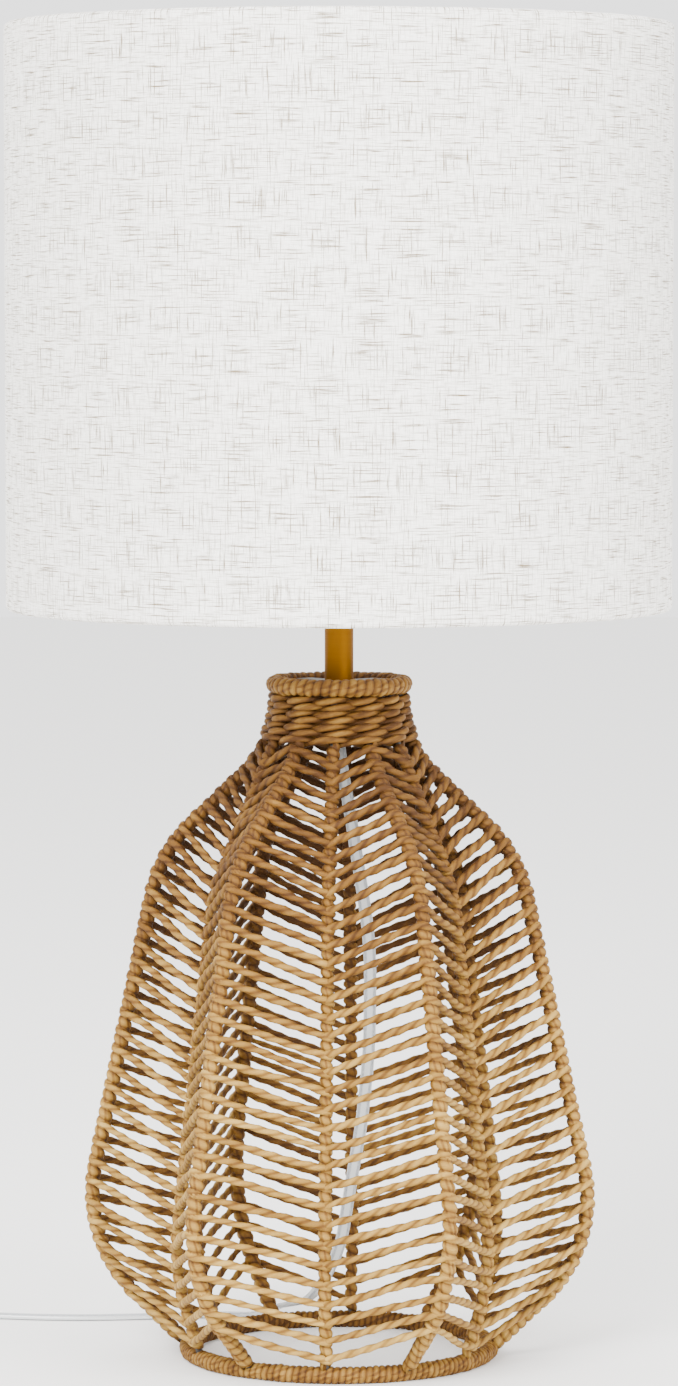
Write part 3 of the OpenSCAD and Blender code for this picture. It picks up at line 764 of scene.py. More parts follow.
@dataclass(frozen=True)
class BentPath:
    """Corners (radius, height) in millimetres, joined by straights and round bends."""

    corners: tuple[tuple[float, float], ...]
    bends: tuple[float, ...]

    def runs(self) -> tuple[np.ndarray, ...]:
        """Work out the straights and bends.

        Returns:
            Corners, directions, turns, bend radii, setbacks, straight lengths and bend lengths. A setback is the
            radius times the tangent of half the turn, and each straight loses it at both ends.
        """
        c, r = np.array(self.corners), np.array(self.bends)
        v = unit(np.diff(c, axis=0))
        cross = v[:-1, 0] * v[1:, 1] - v[:-1, 1] * v[1:, 0]
        turn = np.arctan2(cross, (v[:-1] * v[1:]).sum(1))
        back = r * np.tan(np.abs(turn) / 2)
        straight = np.linalg.norm(np.diff(c, axis=0), axis=1) - np.r_[0, back] - np.r_[back, 0]
        return c, v, turn, r, back, straight, r * np.abs(turn)

    def length(self) -> float:
        """Sum the straights and the bends."""
        runs = self.runs()
        return float(runs[5].sum() + runs[6].sum())

    def at(self, s: np.ndarray) -> tuple[np.ndarray, np.ndarray]:
        """Find points and directions along the path.

        Args:
            s: Distances from the start, millimetres.

        Returns:
            Points and directions. On a bend, a point is its start plus the radius times the sine along, plus the
            radius times one less the cosine across.
        """
        c, v, turn, r, back, straight, arc = self.runs()
        s = np.asarray(s, float)
        start, point, way = 0.0, np.zeros(s.shape + (2,)), np.zeros(s.shape + (2,))
        for i in range(len(v)):
            here = (s >= start)[..., None] | (i == 0)
            first = c[i] + v[i] * (back[i - 1] if i else 0)
            point = np.where(here, first + v[i] * (s - start)[..., None], point)
            way = np.where(here, v[i], way)
            start += straight[i]
            if i < len(arc):
                a = ((s - start) / r[i])[..., None]
                side = np.array([-v[i][1], v[i][0]]) * np.sign(turn[i])
                bent = c[i + 1] - v[i] * back[i] + r[i] * (v[i] * np.sin(a) + side * (1 - np.cos(a)))
                here = (s >= start)[..., None]
                point = np.where(here, bent, point)
                way = np.where(here, v[i] * np.cos(a) + side * np.sin(a), way)
                start += arc[i]
        return point, way


@dataclass(frozen=True)
class Rib:
    """One wire of the cage with its winding of rope.

    Attributes:
        path: Its bent path.
        angle: Its place round the basket, radians from +X.
        size: Diameter over the lacing rope where it goes round.
        sunk: How far the winding between courses lies under that.
        first, last: Where its courses of rope begin and end, from each end of the path.
        tight: First pitch of the courses over the mean pitch.
        courses: Courses of rope.
        wraps: Turns of the winding between one course and the next.
    """

    path: BentPath
    angle: float
    size: float
    first: float
    last: float
    tight: float = 1.0
    sunk: float = 0.45
    courses: int = 34
    wraps: int = 2

    def frame(self, s: np.ndarray) -> tuple[np.ndarray, np.ndarray, np.ndarray, np.ndarray]:
        """Give the centre line and its directions at distances along it.

        Args:
            s: Distances in millimetres.

        Returns:
            Centres in metres, the way along, the outward normal and the sideways direction.
        """
        at, way = self.path.at(s)
        out = np.array([math.cos(self.angle), math.sin(self.angle), 0.0])
        centre = (at[..., 0:1] * out + at[..., 1:2] * UP) * MM
        along = way[..., 0:1] * out + way[..., 1:2] * UP
        normal = -way[..., 1:2] * out + way[..., 0:1] * UP
        side = np.broadcast_to([-math.sin(self.angle), math.cos(self.angle), 0.0], centre.shape)
        return centre, along, normal, side

    def course(self, k: np.ndarray) -> np.ndarray:
        """Give the distance of course k, whose pitch grows evenly from tight times the mean."""
        u = k / (self.courses - 1)
        end = self.path.length() - self.last
        return self.first + (end - self.first) * (self.tight * u + (1 - self.tight) * u * u)

    def wound_to(self, turns: np.ndarray) -> np.ndarray:
        """Give the distance that the winding has reached after some turns, which come to 0 at the first course."""
        k = np.arange(self.courses)
        s, x = self.course(k), self.wraps * k
        before, after = (s[1] - s[0]) / self.wraps, (s[-1] - s[-2]) / self.wraps
        s = np.r_[s[0] - 20 * before, s, s[-1] + 20 * after]
        return np.interp(turns, np.r_[-20, x, x[-1] + 20], s)

    def turns_at(self, s: float) -> float:
        """Give the turns wound when the winding reaches a distance; the other way round from wound_to."""
        x = np.linspace(-20, self.wraps * (self.courses - 1) + 20, 4000)
        return float(np.interp(s, self.wound_to(x), x))

    def winding(self, start: float, rope: float, tone_and_shade: float, rng: np.random.Generator) -> Surface:
        """Wind the rib with rope.

        Args:
            start: Where the winding begins on the rib, millimetres.
            rope: Thickness of the wound rope.
            tone_and_shade: How dark the winding is, 0 to 1.
            rng: Random numbers for uneven turns.

        Returns:
            A sleeve round the rib. Its radius rises and falls once for each turn, as the square root of one less
            the square of the distance from the turn's crown, and the crowns run on as a helix.
        """
        per_turn, sides, left_bare = 8, 12, 2.2
        x0, x1 = self.turns_at(start), self.turns_at(self.path.length() - left_bare) - 1
        x = np.arange(math.floor(x0 * per_turn), math.ceil(x1 * per_turn) + 1) / per_turn
        j = np.arange(sides) / sides
        crown = 2 * np.abs((x + 0.5) % 1 - 0.5)
        lobe = np.sqrt(1 - 0.86 * crown**2)
        full = (self.size / 2 - self.sunk) * (1 + 0.035 * rng.standard_normal(len(x) // per_turn + 2))
        radius = np.interp(x - x[0], np.arange(len(full)), full) - rope / 2 * (1 - lobe)
        s = self.wound_to(x[:, None] + j[None, :])
        centre, _, normal, side = self.frame(s)
        turn = TAU * j[None, :, None]
        rows = centre + radius[:, None, None] * MM * (np.cos(turn) * normal + np.sin(turn) * side)
        around = np.linspace(0, math.pi * self.size * MM, sides + 1)
        surface = Surface.helix(rows, per_turn, False, around, np.r_[x, x[-1] + 0.17] * rope * MM)
        # Painted shade: darker between the turns, on the side towards the lamp's axis, and in the drum's painted
        # shadow higher up
        inward = np.clip(-np.cos(TAU * j), 0, 1)[None, :]
        surface.tone = (tone_and_shade + painted_drum_shadow(rows[..., 2]) + 0.7 * (1 - lobe)[:, None] + 0.4 * inward).reshape(-1)
        return surface

    def hugging(self, turns: np.ndarray, angle: np.ndarray, radius: float) -> np.ndarray:
        """Give points on the winding's helix, at a radius from the centre line and an angle from outwards."""
        centre, _, normal, side = self.frame(self.wound_to(turns + angle / TAU))
        return centre + radius * MM * (np.cos(angle)[..., None] * normal + np.sin(angle)[..., None] * side)


@dataclass
class Basket:
    """The cage of wires, wound and laced with paper rope.

    Attributes:
        base_ring_r, base_ring_z: The base ring's wire circle.
        neck_ring_r, neck_ring_z: The neck ring's wire circle.
        rib_top_r: Radius at which the ribs meet the neck ring.
        ring_size: Diameter over a wound ring.
        turned: Turn of the basket about its axis, degrees.
        pairs: Ribs of each kind.
        neck_rows: Twined rows round the neck.
        neck_row_first, neck_row_pitch: Distance of the first row from the ribs' tops, and from row to row.
        rope: The lacing rope.
        wound_rope: Thickness of the rope in the windings.
        finish, wound_finish: Looks of the laced and of the wound rope.
    """

    base_ring_r: float = 68.5
    base_ring_z: float = 3.8
    neck_ring_r: float = 29.0
    neck_ring_z: float = NECK_RING_Z
    rib_top_r: float = 27.5
    ring_size: float = 8.0
    turned: float = -4.5
    pairs: int = 6
    neck_rows: int = 7
    neck_row_first: float = 5.85
    neck_row_pitch: float = 3.1
    rope: TwoPly = TwoPly()
    wound_rope: float = 2.8
    finish: PaperRope = PaperRope("Twisted kraft paper rope", roughness=0.62)
    wound_finish: PaperRope = PaperRope("Wound kraft paper rope", roughness=0.62, marks=0.75)

    def ribs(self) -> tuple[list[Rib], list[Rib]]:
        """Give the outer and the inner ribs, in order round the basket."""
        top = (self.rib_top_r, self.neck_ring_z)
        foot = (self.base_ring_r, self.base_ring_z)
        outer = BentPath((top, (27.5, 279.5), (81.0, 228.5), (118.5, 51.5), foot), (50.0, 64.0, 64.0))
        inner = BentPath((top, (27.5, 290.0), (62.0, 214.0), (82.0, 46.0), foot), (35.0, 80.0, 90.0))
        step = TAU / self.pairs
        first = math.radians(-90 + self.turned) - step / 2
        places = [first + step * (i + 1) for i in range(self.pairs)]
        return (
            [Rib(outer, a, size=8.0, first=29.0, last=37.0, tight=0.88) for a in places],
            [Rib(inner, a + step / 2, size=7.0, first=37.0, last=8.5, tight=0.89) for a in places],
        )

    def lacing(self, outer: Rib, inner: Rib, slope: Slope, rng: np.random.Generator) -> Surface:
        """Lace one bay: each rope leaves the winding of the outer rib, crosses to the inner one and is wound in.

        Args:
            outer: The outer rib.
            inner: The inner rib.
            slope: Which way round the basket the bay lies from the outer rib.
            rng: Random numbers for slack and colour.

        Returns:
            The bay's ropes. Each is an arc on one winding, a nearly straight span, and an arc on the other; the
            span leaves each arc where the arc runs towards the other rib.
        """
        hand = slope.value
        k = np.arange(outer.courses)
        turns = outer.wraps * k
        ends, touch = [(outer, 1), (inner, -1)], []
        centres = [rib.frame(rib.course(k)) for rib, _ in ends]
        way = unit(centres[1][0] - centres[0][0])
        for _, _, normal, side in centres:
            inward, sideways = (way * normal).sum(-1), (way * side).sum(-1) * hand
            touch.append(hand * np.arctan2(-inward, sideways))
        reach = [rib.size / 2 - self.rope.size / 2 + 0.15 for rib, _ in ends]
        arcs, hold_on = [], 2.3  # radians of each winding that a rope follows
        for (rib, end), at, radius in zip(ends, touch, reach):
            sweep = np.linspace(-hold_on, 0, 15) if end > 0 else np.linspace(0, hold_on, 15)
            arcs.append(rib.hugging(turns[:, None], at[:, None] + hand * sweep[None, :], radius))
        t = np.linspace(0, 1, 32)[None, 1:-1, None]
        span = mixed(arcs[0][:, -1:], arcs[1][:, :1], t)
        slack = rng.normal(0, 0.5 * MM, (len(k), 1, 3)) * np.sin(math.pi * t)
        wave = rng.normal(0, 0.3 * MM, (len(k), 1, 3)) * np.sin(TAU * t)
        lines = np.concatenate([arcs[0], span + slack + wave, arcs[1]], axis=1)
        count = 58
        paths = np.stack([evenly(line, count) for line in lines])
        share = np.linspace(0, 1, count)[None, :, None]
        hold = unit(mixed(centres[0][1][:, None], centres[1][1][:, None], share))
        high = paths[..., 2] / (self.neck_ring_z * MM)
        # Painted shadow of the drum shade higher up, and a random tone for each rope
        tone_and_shade = 0.05 + painted_drum_shadow(paths[..., 2]) + rng.normal(0, 0.07, (len(k), 1))
        swell = 1 + 0.12 * smooth((high - 0.4) / 0.5) + rng.normal(0, 0.05, (len(k), 1))
        swell = swell + 0.06 * np.sin(TAU * (2.3 * share[..., 0] + rng.random((len(k), 1))))
        surface = self.rope.skin(paths, hold, tone_and_shade, swell)
        # Painted shade on each rope's side towards the lamp's axis
        surface.tone = surface.tone + 0.45 * self.painted_inner_shade(surface.points, paths, self.rope.sides)
        return surface

    @staticmethod
    def painted_inner_shade(points: np.ndarray, paths: np.ndarray, sides: int) -> np.ndarray:
        """Tell how far each skin point lies on the rope's side towards the lamp's axis, which is painted darker as
        shade.
        """
        centre = np.repeat(paths.reshape(-1, 3), sides, axis=0)
        nearer = np.hypot(centre[:, 0], centre[:, 1]) - np.hypot(points[:, 0], points[:, 1])
        return np.clip(nearer / (1.2 * MM), 0, 1)

    def ring(
        self, radius: float, height: float, turns: int, tone_and_shade: float, rng: np.random.Generator, floor: bool
    ) -> Surface:
        """Wind a ring with rope.

        Args:
            radius: The wire circle's radius.
            height: Its height.
            turns: Turns of rope round it.
            tone_and_shade: How dark the winding is, 0 to 1.
            rng: Random numbers for uneven turns.
            floor: It stands on the table, which presses it flat.

        Returns:
            A doughnut whose tube swells at each turn of rope; the crowns run on as one long helix.
        """
        per_turn, sides = 8, 14
        x = np.arange(turns * per_turn) / per_turn
        j = np.arange(sides) / sides
        lobe = np.sqrt(1 - 0.8 * (2 * np.abs((x + 0.5) % 1 - 0.5)) ** 2)
        uneven = rng.normal(0, 0.04, turns)
        full = self.ring_size / 2 * (1 + np.interp(x % turns, np.arange(turns + 1), np.r_[uneven, uneven[0]]))
        tube = (full - self.wound_rope / 2 * 0.8 * (1 - lobe))[:, None] * MM
        phi = TAU * (x[:, None] + j[None, :]) / turns
        out = radius * MM + tube * np.cos(TAU * j)
        z = height * MM + tube * np.sin(TAU * j)
        if floor:
            z = np.maximum(z, 0.02 * MM)
        rows = np.stack([out * np.cos(phi), out * np.sin(phi), z], axis=-1)
        around = np.linspace(0, math.pi * self.ring_size * MM, sides + 1)
        pitch = TAU * radius * MM / turns / per_turn
        surface = Surface.helix(rows, per_turn, True, around, np.arange(len(x) + 1) * pitch)
        # Painted shade: darker between the turns and on the side towards the lamp's axis; the blotches are the rope's
        # own uneven tone
        inward = np.clip(-np.cos(TAU * j), 0, 1)[None, :]
        blotch = np.interp(x, np.arange(turns + 1), np.r_[rng.normal(0, 0.05, turns), 0])
        surface.tone = (tone_and_shade + blotch[:, None] + 0.8 * (1 - lobe)[:, None] + 0.3 * inward).reshape(-1)
        return surface

    def twining(self, rng: np.random.Generator) -> Surface:
        """Twine the neck: in each row two ropes pass every rib on opposite sides and cross between ribs.

        Args:
            rng: Random numbers for colour.

        Returns:
            The rows. A rope's distance from the rib circle swings as the cosine of the rib count times the angle,
            and its height as the sine, with the second rope the other way round. Rows alternate by a fraction of
            a swing.
        """
        rope = TwoPly(size=3.5, lay=34.0, groove=0.08, sides=10)
        outer = self.ribs()[0][0]
        at, way = outer.path.at(self.neck_row_first + self.neck_row_pitch * np.arange(self.neck_rows))
        count = 216
        phi = TAU * np.arange(count)[None, :] / count
        stagger = 0.45 * (-1.0) ** np.arange(self.neck_rows)[:, None]
        swing = self.pairs * (phi - outer.angle) + stagger
        sign = np.array([1.0, -1.0])[:, None, None]
        off = sign * 3.2 * np.cos(swing)[None]
        lift = sign * 0.75 * np.sin(swing)[None]
        normal = np.stack([-way[:, 1], way[:, 0]], axis=-1)[None, :, None, :]
        place = at[None, :, None, :] + off[..., None] * normal - lift[..., None] * way[None, :, None, :]
        r, z = place[..., 0] * MM, place[..., 1] * MM
        paths = np.stack([r * np.cos(phi)[None], r * np.sin(phi)[None], z], axis=-1).reshape(-1, count, 3)
        proud = np.tile(np.abs(np.cos(swing)), (2, 1))
        # Painted shade where a rope dives behind a rib, and a random tone for each rope
        tone_and_shade = 0.34 + 0.14 * rng.random((len(paths), 1)) + 0.4 * (1 - proud) ** 2
        swell = 0.66 + 0.38 * proud**0.8
        surface = rope.skin(paths, UP, tone_and_shade, swell, looped=True)
        # Painted shade on the side towards the axis and on the rope's upper and lower edges, where the rows touch
        seam = np.abs(surface.points[:, 2] - np.repeat(paths.reshape(-1, 3)[:, 2], rope.sides)) / (rope.size / 2 * MM)
        surface.tone = surface.tone + 0.35 * self.painted_inner_shade(surface.points, paths, rope.sides) + 0.45 * seam**4
        return surface

    def build(self) -> None:
        """Make the windings, the twined neck and the laced bays."""
        rng = np.random.default_rng(7)
        rope, wound = self.finish.material(), self.wound_finish.material()
        outer, inner = self.ribs()
        base = self.ring(self.base_ring_r, self.base_ring_z, turns=150, tone_and_shade=0.32, rng=rng, floor=True)
        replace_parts(base.build("base_ring_winding", Body.BASE, Slot.WOUND, wound), "base_ring_wrap")
        neck = self.ring(self.neck_ring_r, self.neck_ring_z, turns=50, tone_and_shade=0.34, rng=rng, floor=False)
        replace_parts(neck.build("neck_ring_winding", Body.BASE, Slot.WOUND, wound), "neck_ring_wrap")
        twined = self.twining(rng).build("neck_twining", Body.BASE, Slot.ROPE, rope)
        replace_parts(twined, "neck_weave_outer", "neck_weave_inner")
        for kind, ribs in (("outer", outer), ("inner", inner)):
            for i, rib in enumerate(ribs, 1):
                sleeve = rib.winding(start=24.0, rope=self.wound_rope, tone_and_shade=0.1, rng=rng)
                piece = sleeve.build(f"{kind}_rib_winding_{i}", Body.BASE, Slot.WOUND, wound)
                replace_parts(piece, f"{kind}_rib_wrap_{i}")
        for n in range(2 * self.pairs):
            pair, slope = n // 2, Slope.BACKWARD if n % 2 else Slope.ONWARD
            laced = self.lacing(outer[(n + 1) // 2 % self.pairs], inner[pair], slope, rng)
            piece = laced.build(f"laced_bay_{n + 1:02d}", Body.BASE, Slot.ROPE, rope)
            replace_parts(piece, f"weave_bay_{n + 1:02d}")


# ---- The linen shade ----


@dataclass
class DrumShade:
    """Linen laminated on styrene, with its edges rolled over the two wire rings.

    Attributes:
        radius, bottom, top: The drum.
        ring_r: Radius of the rings' wire circles.
        cloth: Thickness of the cloth.
        roll: Radius of the rolled edge.
        hem: How far the rolled edge comes back inside.
        overlap: Width of the seam's overlap, at the back.
        linen: Its finish.
    """

    radius: float = 149.7
    bottom: float = 339.0
    top: float = 601.0
    cloth: float = 0.6
    roll: float = 2.3
    hem: float = 9.0
    overlap: float = 11.0
    linen: Linen = Linen("Slubbed linen", colour="#F8F6F1", roughness=0.9)

    def profile(self) -> tuple[np.ndarray, np.ndarray]:
        """Draw the cloth's line from its bottom hem, round the edges and up to its top hem.

        Returns:
            (n, 2) radius and height of the middle of the cloth, and the (n, 2) outward normals.
        """
        a = np.linspace(0, math.pi, 9)
        r, in_r = self.radius - self.cloth / 2, self.radius - self.cloth / 2 - 2 * self.roll
        low, high = self.bottom + self.roll + self.cloth / 2, self.top - self.roll - self.cloth / 2
        mid = (r + in_r) / 2
        under = np.stack([mid - self.roll * np.cos(a), low - self.roll * np.sin(a)], axis=1)
        over = np.stack([mid + self.roll * np.cos(a), high + self.roll * np.sin(a)], axis=1)
        wall = np.stack([np.full(22, r), np.linspace(low, high, 24)[1:-1]], axis=1)
        tuck = np.array([[in_r + 1.6, self.hem], [in_r + 0.5, self.hem - 2.5], [in_r, self.hem * 0.45]])
        foot = np.stack([tuck[:, 0], self.bottom + tuck[:, 1]], axis=1)
        head = np.stack([tuck[:, 0], self.top - tuck[:, 1]], axis=1)[::-1]
        line = np.vstack([foot, under, wall, over, head])
        way = unit(np.gradient(line, axis=0))
        return line, np.stack([way[:, 1], -way[:, 0]], axis=1)

    def build(self) -> None:
        line, normal = self.profile()
        half = self.cloth / 2
        section = np.vstack([line + half * normal, (line - half * normal)[::-1]])
        run = np.r_[0, np.cumsum(np.linalg.norm(np.diff(line, axis=0), axis=1))] * MM
        count = 240
        phi = TAU * np.arange(count) / count
        seam = (phi - math.pi / 2) * self.radius
        proud = 0.35 * smooth(seam / 0.6 + 0.5) * (seam < self.overlap + 4) * smooth((self.overlap - seam) / 4)
        r = section[None, :, 0] + proud[:, None] * (np.arange(len(section)) < len(line))[None, :]
        z = np.broadcast_to(section[None, :, 1], r.shape)
        rings = np.stack([r * np.cos(phi)[:, None], r * np.sin(phi)[:, None], z], axis=-1) * MM
        up = np.r_[run, run[::-1], run[0]]
        surface = Surface.tube(rings, np.linspace(0, TAU * self.radius * MM, count + 1), up, looped=True)
        piece = surface.build("linen_cover", Body.SHADE, Slot.LINEN, self.linen.material())
        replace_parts(piece, "shade_fabric")


# ---- The cord and its plug ----


@dataclass
class Plug:
    """Flat two-blade plug with finger grips, moulded with its ribbed strain relief onto the end of the cord.

    Attributes:
        back: Middle of the body's back face; the body points along +X.
        length, width, thick: The body.
        relief: Length of the strain relief, which follows the cord.
        pvc: Its finish.
    """

    back: tuple[float, float, float] = (-225.0, 31.0, 18.2)
    length: float = 30.0
    width: float = 22.0
    thick: float = 13.0
    relief: float = 24.0
    pvc: ClearMoulding = ClearMoulding("Clear PVC moulding", colour="#D5D8D8", roughness=0.25)

    def body(self) -> Surface:
        """Shape the body.

        Returns:
            A bar along X whose section is an oval with its cosine and sine raised to 0.5, so nearly a rounded
            rectangle. It widens from the cord to the blades, and the grips dip as the positive half of a cosine.
        """
        x = np.linspace(0, self.length, 76)
        stops = np.array([0, 1.5, 12.0, 14.0, self.length - 1.5, self.length])
        half_w = np.interp(x, stops, self.width / 2 * np.array([0.45, 0.52, 0.93, 0.99, 0.99, 0.9]))
        half_t = np.interp(x, stops, self.thick / 2 * np.array([0.62, 0.7, 0.95, 0.99, 0.99, 0.88]))
        half_t = half_t - 0.45 * np.clip(np.cos(TAU * (x - 15) / 3.2), 0, 1) * ((x > 14) & (x < 26))
        a = TAU * np.arange(28) / 28
        c, s = (np.sign(f(a)) * np.abs(f(a)) ** 0.5 for f in (np.cos, np.sin))
        rings = np.stack(
            [
                np.broadcast_to((self.back[0] + x)[:, None], (len(x), len(a))),
                self.back[1] + half_w[:, None] * c,
                self.back[2] + half_t[:, None] * s,
            ],
            axis=-1,
        )
        return Surface.tube(rings * MM, x * MM, np.linspace(0, 0.06, len(a) + 1))

    def strain_relief(self, path: np.ndarray) -> Surface:
        """Taper a ribbed boot along the cord.

        Args:
            path: The cord's centre line up to the body, metres.

        Returns:
            A sleeve over the last stretch of the path, oval like the cord. Its radius grows evenly towards the body
            and dips at each groove as the positive half of a cosine.
        """
        from_end = np.r_[np.cumsum(np.linalg.norm(np.diff(path, axis=0), axis=1)[::-1])[::-1], 0] / MM
        line = evenly(path[from_end < self.relief], 70)
        t = np.linspace(0, 1, len(line))
        grow = 1.12 + 0.4 * t - 0.12 * np.clip(np.cos(TAU * 6 * t), 0, 1) * (t > 0.08)
        a = TAU * np.arange(20) / 20
        section = np.stack([1.9 * np.cos(a), 3.1 * np.sin(a)], axis=-1)[None] * grow[:, None, None] * MM
        return Surface.tube(carried(line, UP, section), self.relief * MM * t, np.linspace(0, 0.02, len(a) + 1))

    def build(self, path: np.ndarray) -> None:
        """Make the body and the strain relief on the cord's path."""
        material = self.pvc.material()
        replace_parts(self.body().build("plug_moulding", Body.BASE, Slot.PVC, material), "plug_body")
        self.strain_relief(path).build("plug_strain_relief", Body.BASE, Slot.PVC, material)


@dataclass
class Lead:
    """Flat two-core cord that drops through the basket, lies out to the side and is put away in a coil.

    Attributes:
        route: Points from the bushing to the coil, as in the part.
        tail: Points from the coil up to the plug's back, and into it.
        width, thick: Its section.
        coil: Centre of the coil.
        columns: Radii of the coil's side-by-side turns.
        turns: Turns in the coil.
        pvc: Its finish.
    """

    route: tuple[tuple[float, float, float], ...] = (
        (0, 0, 281.3), (0.5, 0, 274), (2, 0, 264), (5, 0, 247), (7.5, 0, 231), (10.5, 0, 212), (13, 0, 194),
        (14, 0, 178), (14, 0, 160), (13.5, 1, 140), (12, 3, 122), (10, 6, 104), (7, 10, 86), (4, 17, 67),
        (1, 27, 48), (-4, 38, 33), (-10, 49, 21), (-16, 59, 14), (-22, 68, 11), (-28, 78, 8), (-34, 86, 4),
        (-44, 91, 1.4), (-58, 92, 1.4), (-76, 90, 1.4), (-96, 87, 1.4), (-118, 85, 1.4), (-140, 86, 1.4),
        (-160, 89.5, 1.4), (-176, 93, 1.4), (-187, 95.8, 1.4),
    )  # fmt: skip
    tail: tuple[tuple[float, float, float], ...] = (
        (-245.4, 68.3, 10.6), (-248.0, 55.5, 13.6), (-245.4, 43.6, 16.4), (-240.0, 35.2, 17.8),
        (-233.0, 31.8, 18.2), (-225.0, 31.0, 18.2), (-219.0, 31.0, 18.2),
    )  # fmt: skip
    width: float = 5.6
    thick: float = 2.8
    coil: tuple[float, float] = (-210.0, 62.0)
    columns: tuple[float, ...] = (36.4, 33.0, 29.6, 26.2)
    turns: float = 6.164
    pvc: ClearPvc = ClearPvc("Clear PVC over tinned cores", colour="#D9DCDC", roughness=0.22)

    def wound(self) -> np.ndarray:
        """Give the coil's centre line.

        Returns:
            Points round the coil. The radius goes in by a column each turn and out again in the layer above; the
            height goes up by a cord's width between the layers.
        """
        t = np.linspace(0, self.turns, int(self.turns * 48))
        radii = np.r_[self.columns, self.columns[::-1]]
        radius = np.interp(t, np.arange(len(radii)) + 0.5, radii)
        layer = smooth((t - len(self.columns) + 0.35) / 0.7)
        z = self.width / 2 + 0.05 + layer * (self.width + 0.1)
        a = math.radians(91) + TAU * t
        return np.stack([self.coil[0] + radius * np.cos(a), self.coil[1] + radius * np.sin(a), z], axis=1)

    def facing(self, path: np.ndarray, run: np.ndarray, to_coil: float) -> np.ndarray:
        """Give the direction of the cord's width at each point.

        Args:
            path: Its centre line.
            run: Distance along it, millimetres.
            to_coil: The distance at which the coil begins.

        Returns:
            Unit vectors: along X at the bushing, level further down and on the table, and upright in the coil.
        """
        way = unit(np.gradient(path, axis=0))
        level = unit(np.cross(UP, way))
        level = level * np.where((level @ np.array([0.6, 0.8, 0])) < 0, -1, 1)[:, None]
        wide = unit(mixed(np.array([1.0, 0, 0]), level, smooth((run - 180) / 120)[:, None]))
        wide = mixed(wide, UP, smooth((run - to_coil + 45) / 45)[:, None])
        return unit(wide - way * (wide * way).sum(1, keepdims=True))

    def section(self, sides: int) -> tuple[np.ndarray, np.ndarray]:
        """Give the section's distances across its width and through it.

        Args:
            sides: Points round it.

        Returns:
            Half the width times the cosine, and half the thickness times the sine raised to 0.62, which a waist
            between the two cores narrows by a third, as the bell curve of the distance across.
        """
        a = TAU * np.arange(sides) / sides
        across = self.width / 2 * np.cos(a)
        waist = 1 - 0.32 * np.exp(-((across / 0.7) ** 2))
        return across, self.thick / 2 * np.sign(np.sin(a)) * np.abs(np.sin(a)) ** 0.62 * waist

    def build(self) -> None:
        coil = self.wound()
        drop = through(np.vstack([self.route, coil[:1]]), 10)
        tail = through(np.vstack([coil[-1:], self.tail]), 10)
        line = np.vstack([drop[:-1], coil[:-1], tail])
        total = float(np.linalg.norm(np.diff(line, axis=0), axis=1).sum())
        path = evenly(line, int(total / 2.6)) * MM
        run = np.linspace(0, total, len(path))
        wide = self.facing(path, run, float(np.linalg.norm(np.diff(drop, axis=0), axis=1).sum()))
        upright = np.abs(wide[:, 2])  # the more upright it stands, the higher its middle lies off the table
        stands = (self.width * upright + self.thick * np.sqrt(1 - upright**2)) / 2 * MM
        path[:, 2] = np.maximum(path[:, 2], stands)
        thin = np.cross(unit(np.gradient(path, axis=0)), wide)
        sides = 16
        across, through_it = self.section(sides)
        rings = path[:, None] + (across[:, None] * wide[:, None] + through_it[:, None] * thin[:, None]) * MM
        around = np.linspace(0, self.pvc.width * MM, sides + 1)
        piece = Surface.tube(rings, run * MM, around).build("lead", Body.BASE, Slot.PVC, self.pvc.material())
        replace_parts(piece, "cord_drop", "cord_coil")
        plug = Plug()
        plug.build(path[path[:, 0] < plug.back[0] * MM])
        LOG.info("lead: %.3f m long", total * MM)


# ---- The set-up round it ----


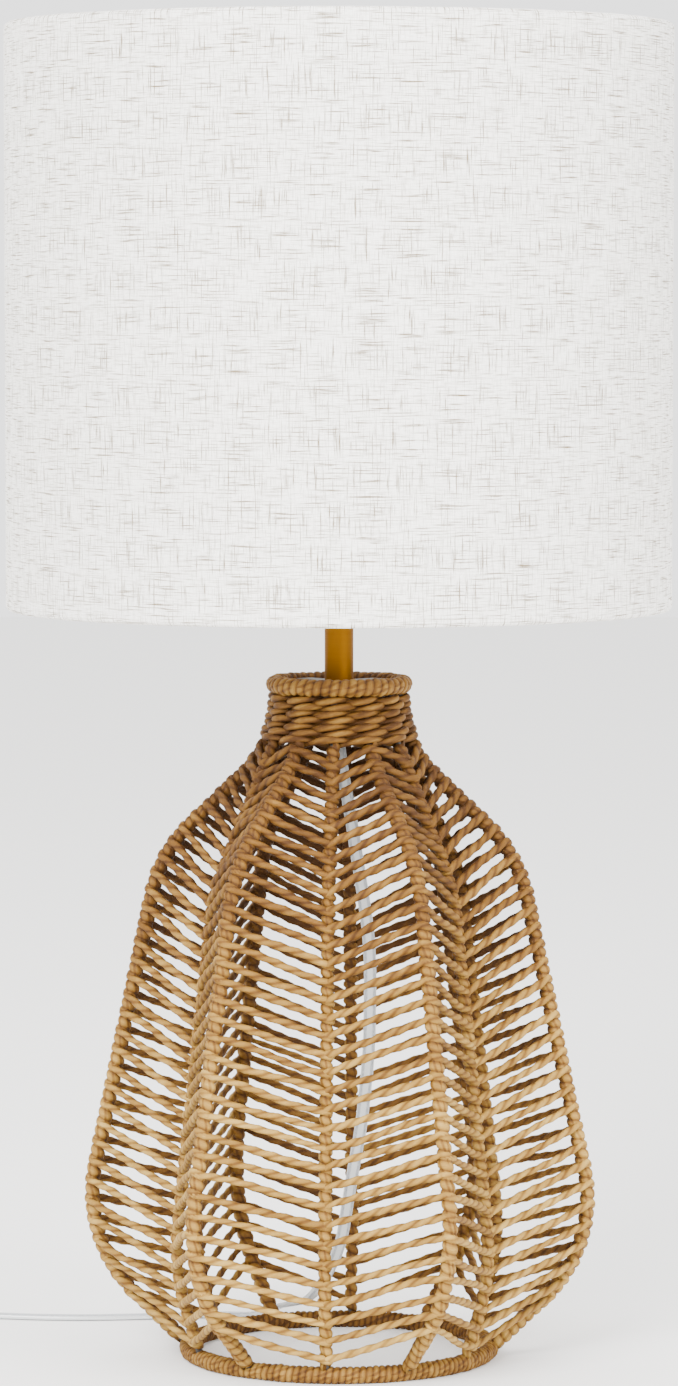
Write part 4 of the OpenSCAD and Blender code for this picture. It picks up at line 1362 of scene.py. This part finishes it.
@dataclass
class Studio:
    """Camera, pale table and soft lights.

    Attributes:
        eye: The camera's place in metres.
        tilt: Its rotation about X in degrees.
        lens: Its focal length in millimetres on a 36 mm sensor.
    """

    eye: tuple[float, float, float] = (0.0, -2.475, 0.4747)
    tilt: float = 85.9923
    lens: float = 143.04

    def camera(self) -> None:
        """Make the camera and set it."""
        data = bpy.data.cameras.new("Camera")
        data.lens, data.sensor_width, data.sensor_fit = self.lens, 36.0, "AUTO"
        camera = bpy.data.objects.new("Camera", data)
        camera.location = self.eye
        camera.rotation_euler = (math.radians(self.tilt), 0.0, 0.0)
        bpy.context.collection.objects.link(camera)
        bpy.context.scene.camera = camera

    def light(self, name: str, place: Place, aim: Place, size: float, power: float) -> None:
        """Add a square soft light.

        Args:
            name: Its name.
            place: Where it stands, metres.
            aim: The point that it faces.
            size: Its side, metres.
            power: Its power, watts.
        """
        data = bpy.data.lights.new(name, "AREA")
        data.size, data.energy = size, power
        lamp = bpy.data.objects.new(name, data)
        lamp.location = place
        way = np.array(place) - np.array(aim)
        flat = math.hypot(way[0], way[1])
        lamp.rotation_euler = (math.atan2(flat, way[2]), 0.0, math.atan2(way[0], -way[1]))
        bpy.context.collection.objects.link(lamp)

    def build(self) -> None:
        """Lay the table, light it and set the sky's even glow."""
        sides, radius = 48, 6.0
        phi = TAU * np.arange(sides) / sides
        edge = np.stack([radius * np.cos(phi), radius * np.sin(phi), np.zeros(sides)], axis=1)
        mesh = bpy.data.meshes.new("table")
        mesh.from_pydata(edge.tolist(), [], [list(range(sides))])
        mesh.materials.append(Finish("Matt white board", colour="#F4F3F1", roughness=0.8).material())
        floor = bpy.data.objects.new("table", mesh)
        bpy.context.collection.objects.link(floor)
        world = bpy.data.worlds.new("Even glow")
        world.use_nodes = True
        glow = world.node_tree.nodes["Background"].inputs
        glow["Color"].default_value, glow["Strength"].default_value = linear("#FFFFFF"), 2.4
        bpy.context.scene.world = world
        self.light("Key", (-1.2, -2.6, 1.9), (0.0, 0.0, 0.3), 1.4, 240.0)
        self.light("Fill", (1.9, -2.0, 1.0), (0.0, 0.0, 0.25), 1.6, 110.0)
        self.light("Top", (0.0, 0.4, 2.4), (0.0, 0.0, 0.3), 1.6, 20.0)


CARRIED_OVER = (
    (
        SpunMetal("Satin lacquered brass", colour="#70490A", roughness=0.55, metallic=1.0),
        ("pole", "harp_saddle", "socket_cap", "socket_shell", "harp", "harp_sleeve_left", "harp_sleeve_right")
        + ("finial", "pipe_nut"),
    ),
    (
        ThreadedSteel("Zinc-plated steel", colour="#B9BBBD", roughness=0.3, metallic=1.0),
        ("threaded_pipe", "pipe_washer", "bulb_base", "plug_blades"),
    ),
    (
        Finish("Welded mild steel wire", colour="#4A4744", roughness=0.5, metallic=1.0),
        ("base_ring_wire", "neck_ring_wire", "outer_rib_wires", "inner_rib_wires", "neck_cross"),
    ),
    (Finish("Moulded black phenolic", colour="#17171A", roughness=0.35), ("switch_knob", "cord_bushing")),
    (Finish("Tan phenolic", colour="#A08B63", roughness=0.5), ("socket_core",)),
    (Finish("Pressed fibre card", colour="#C2A878", roughness=0.85), ("socket_liner",)),
    (FrostedGlass("Frosted glass", colour="#F4F2EC", roughness=0.35), ("bulb_glass",)),
    (Finish("Matt styrene sheet", colour="#F5F3EE", roughness=0.6), ("shade_backing",)),
    (Finish("White powder-coated wire", colour="#ECEBE6", roughness=0.4), ("shade_fitter", "shade_bottom_ring")),
    (ClearMoulding("Clear PVC", colour="#D9DCDC", roughness=0.25), ("lead_in_pole",)),
)


def dress(nodes: dict) -> None:
    """Give the parts that are carried over their finishes.

    Args:
        nodes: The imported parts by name.
    """
    for finish, names in CARRIED_OVER:
        material = finish.material()
        for name in names:
            if not nodes[name].material_slots:
                nodes[name].data.materials.append(material)
            for held in nodes[name].material_slots:
                held.material = material
            LOG.info("%s: dressed in %s", name, finish.name)


def main() -> None:
    """Build the lamp round its frame, in order."""
    logging.basicConfig(level=logging.INFO, format="%(message)s")
    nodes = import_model()["nodes"]
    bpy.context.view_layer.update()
    studio = Studio()
    studio.camera()
    Lead().build()
    Basket().build()
    DrumShade().build()
    dress(nodes)
    studio.build()


if __name__ == "__main__":
    main()
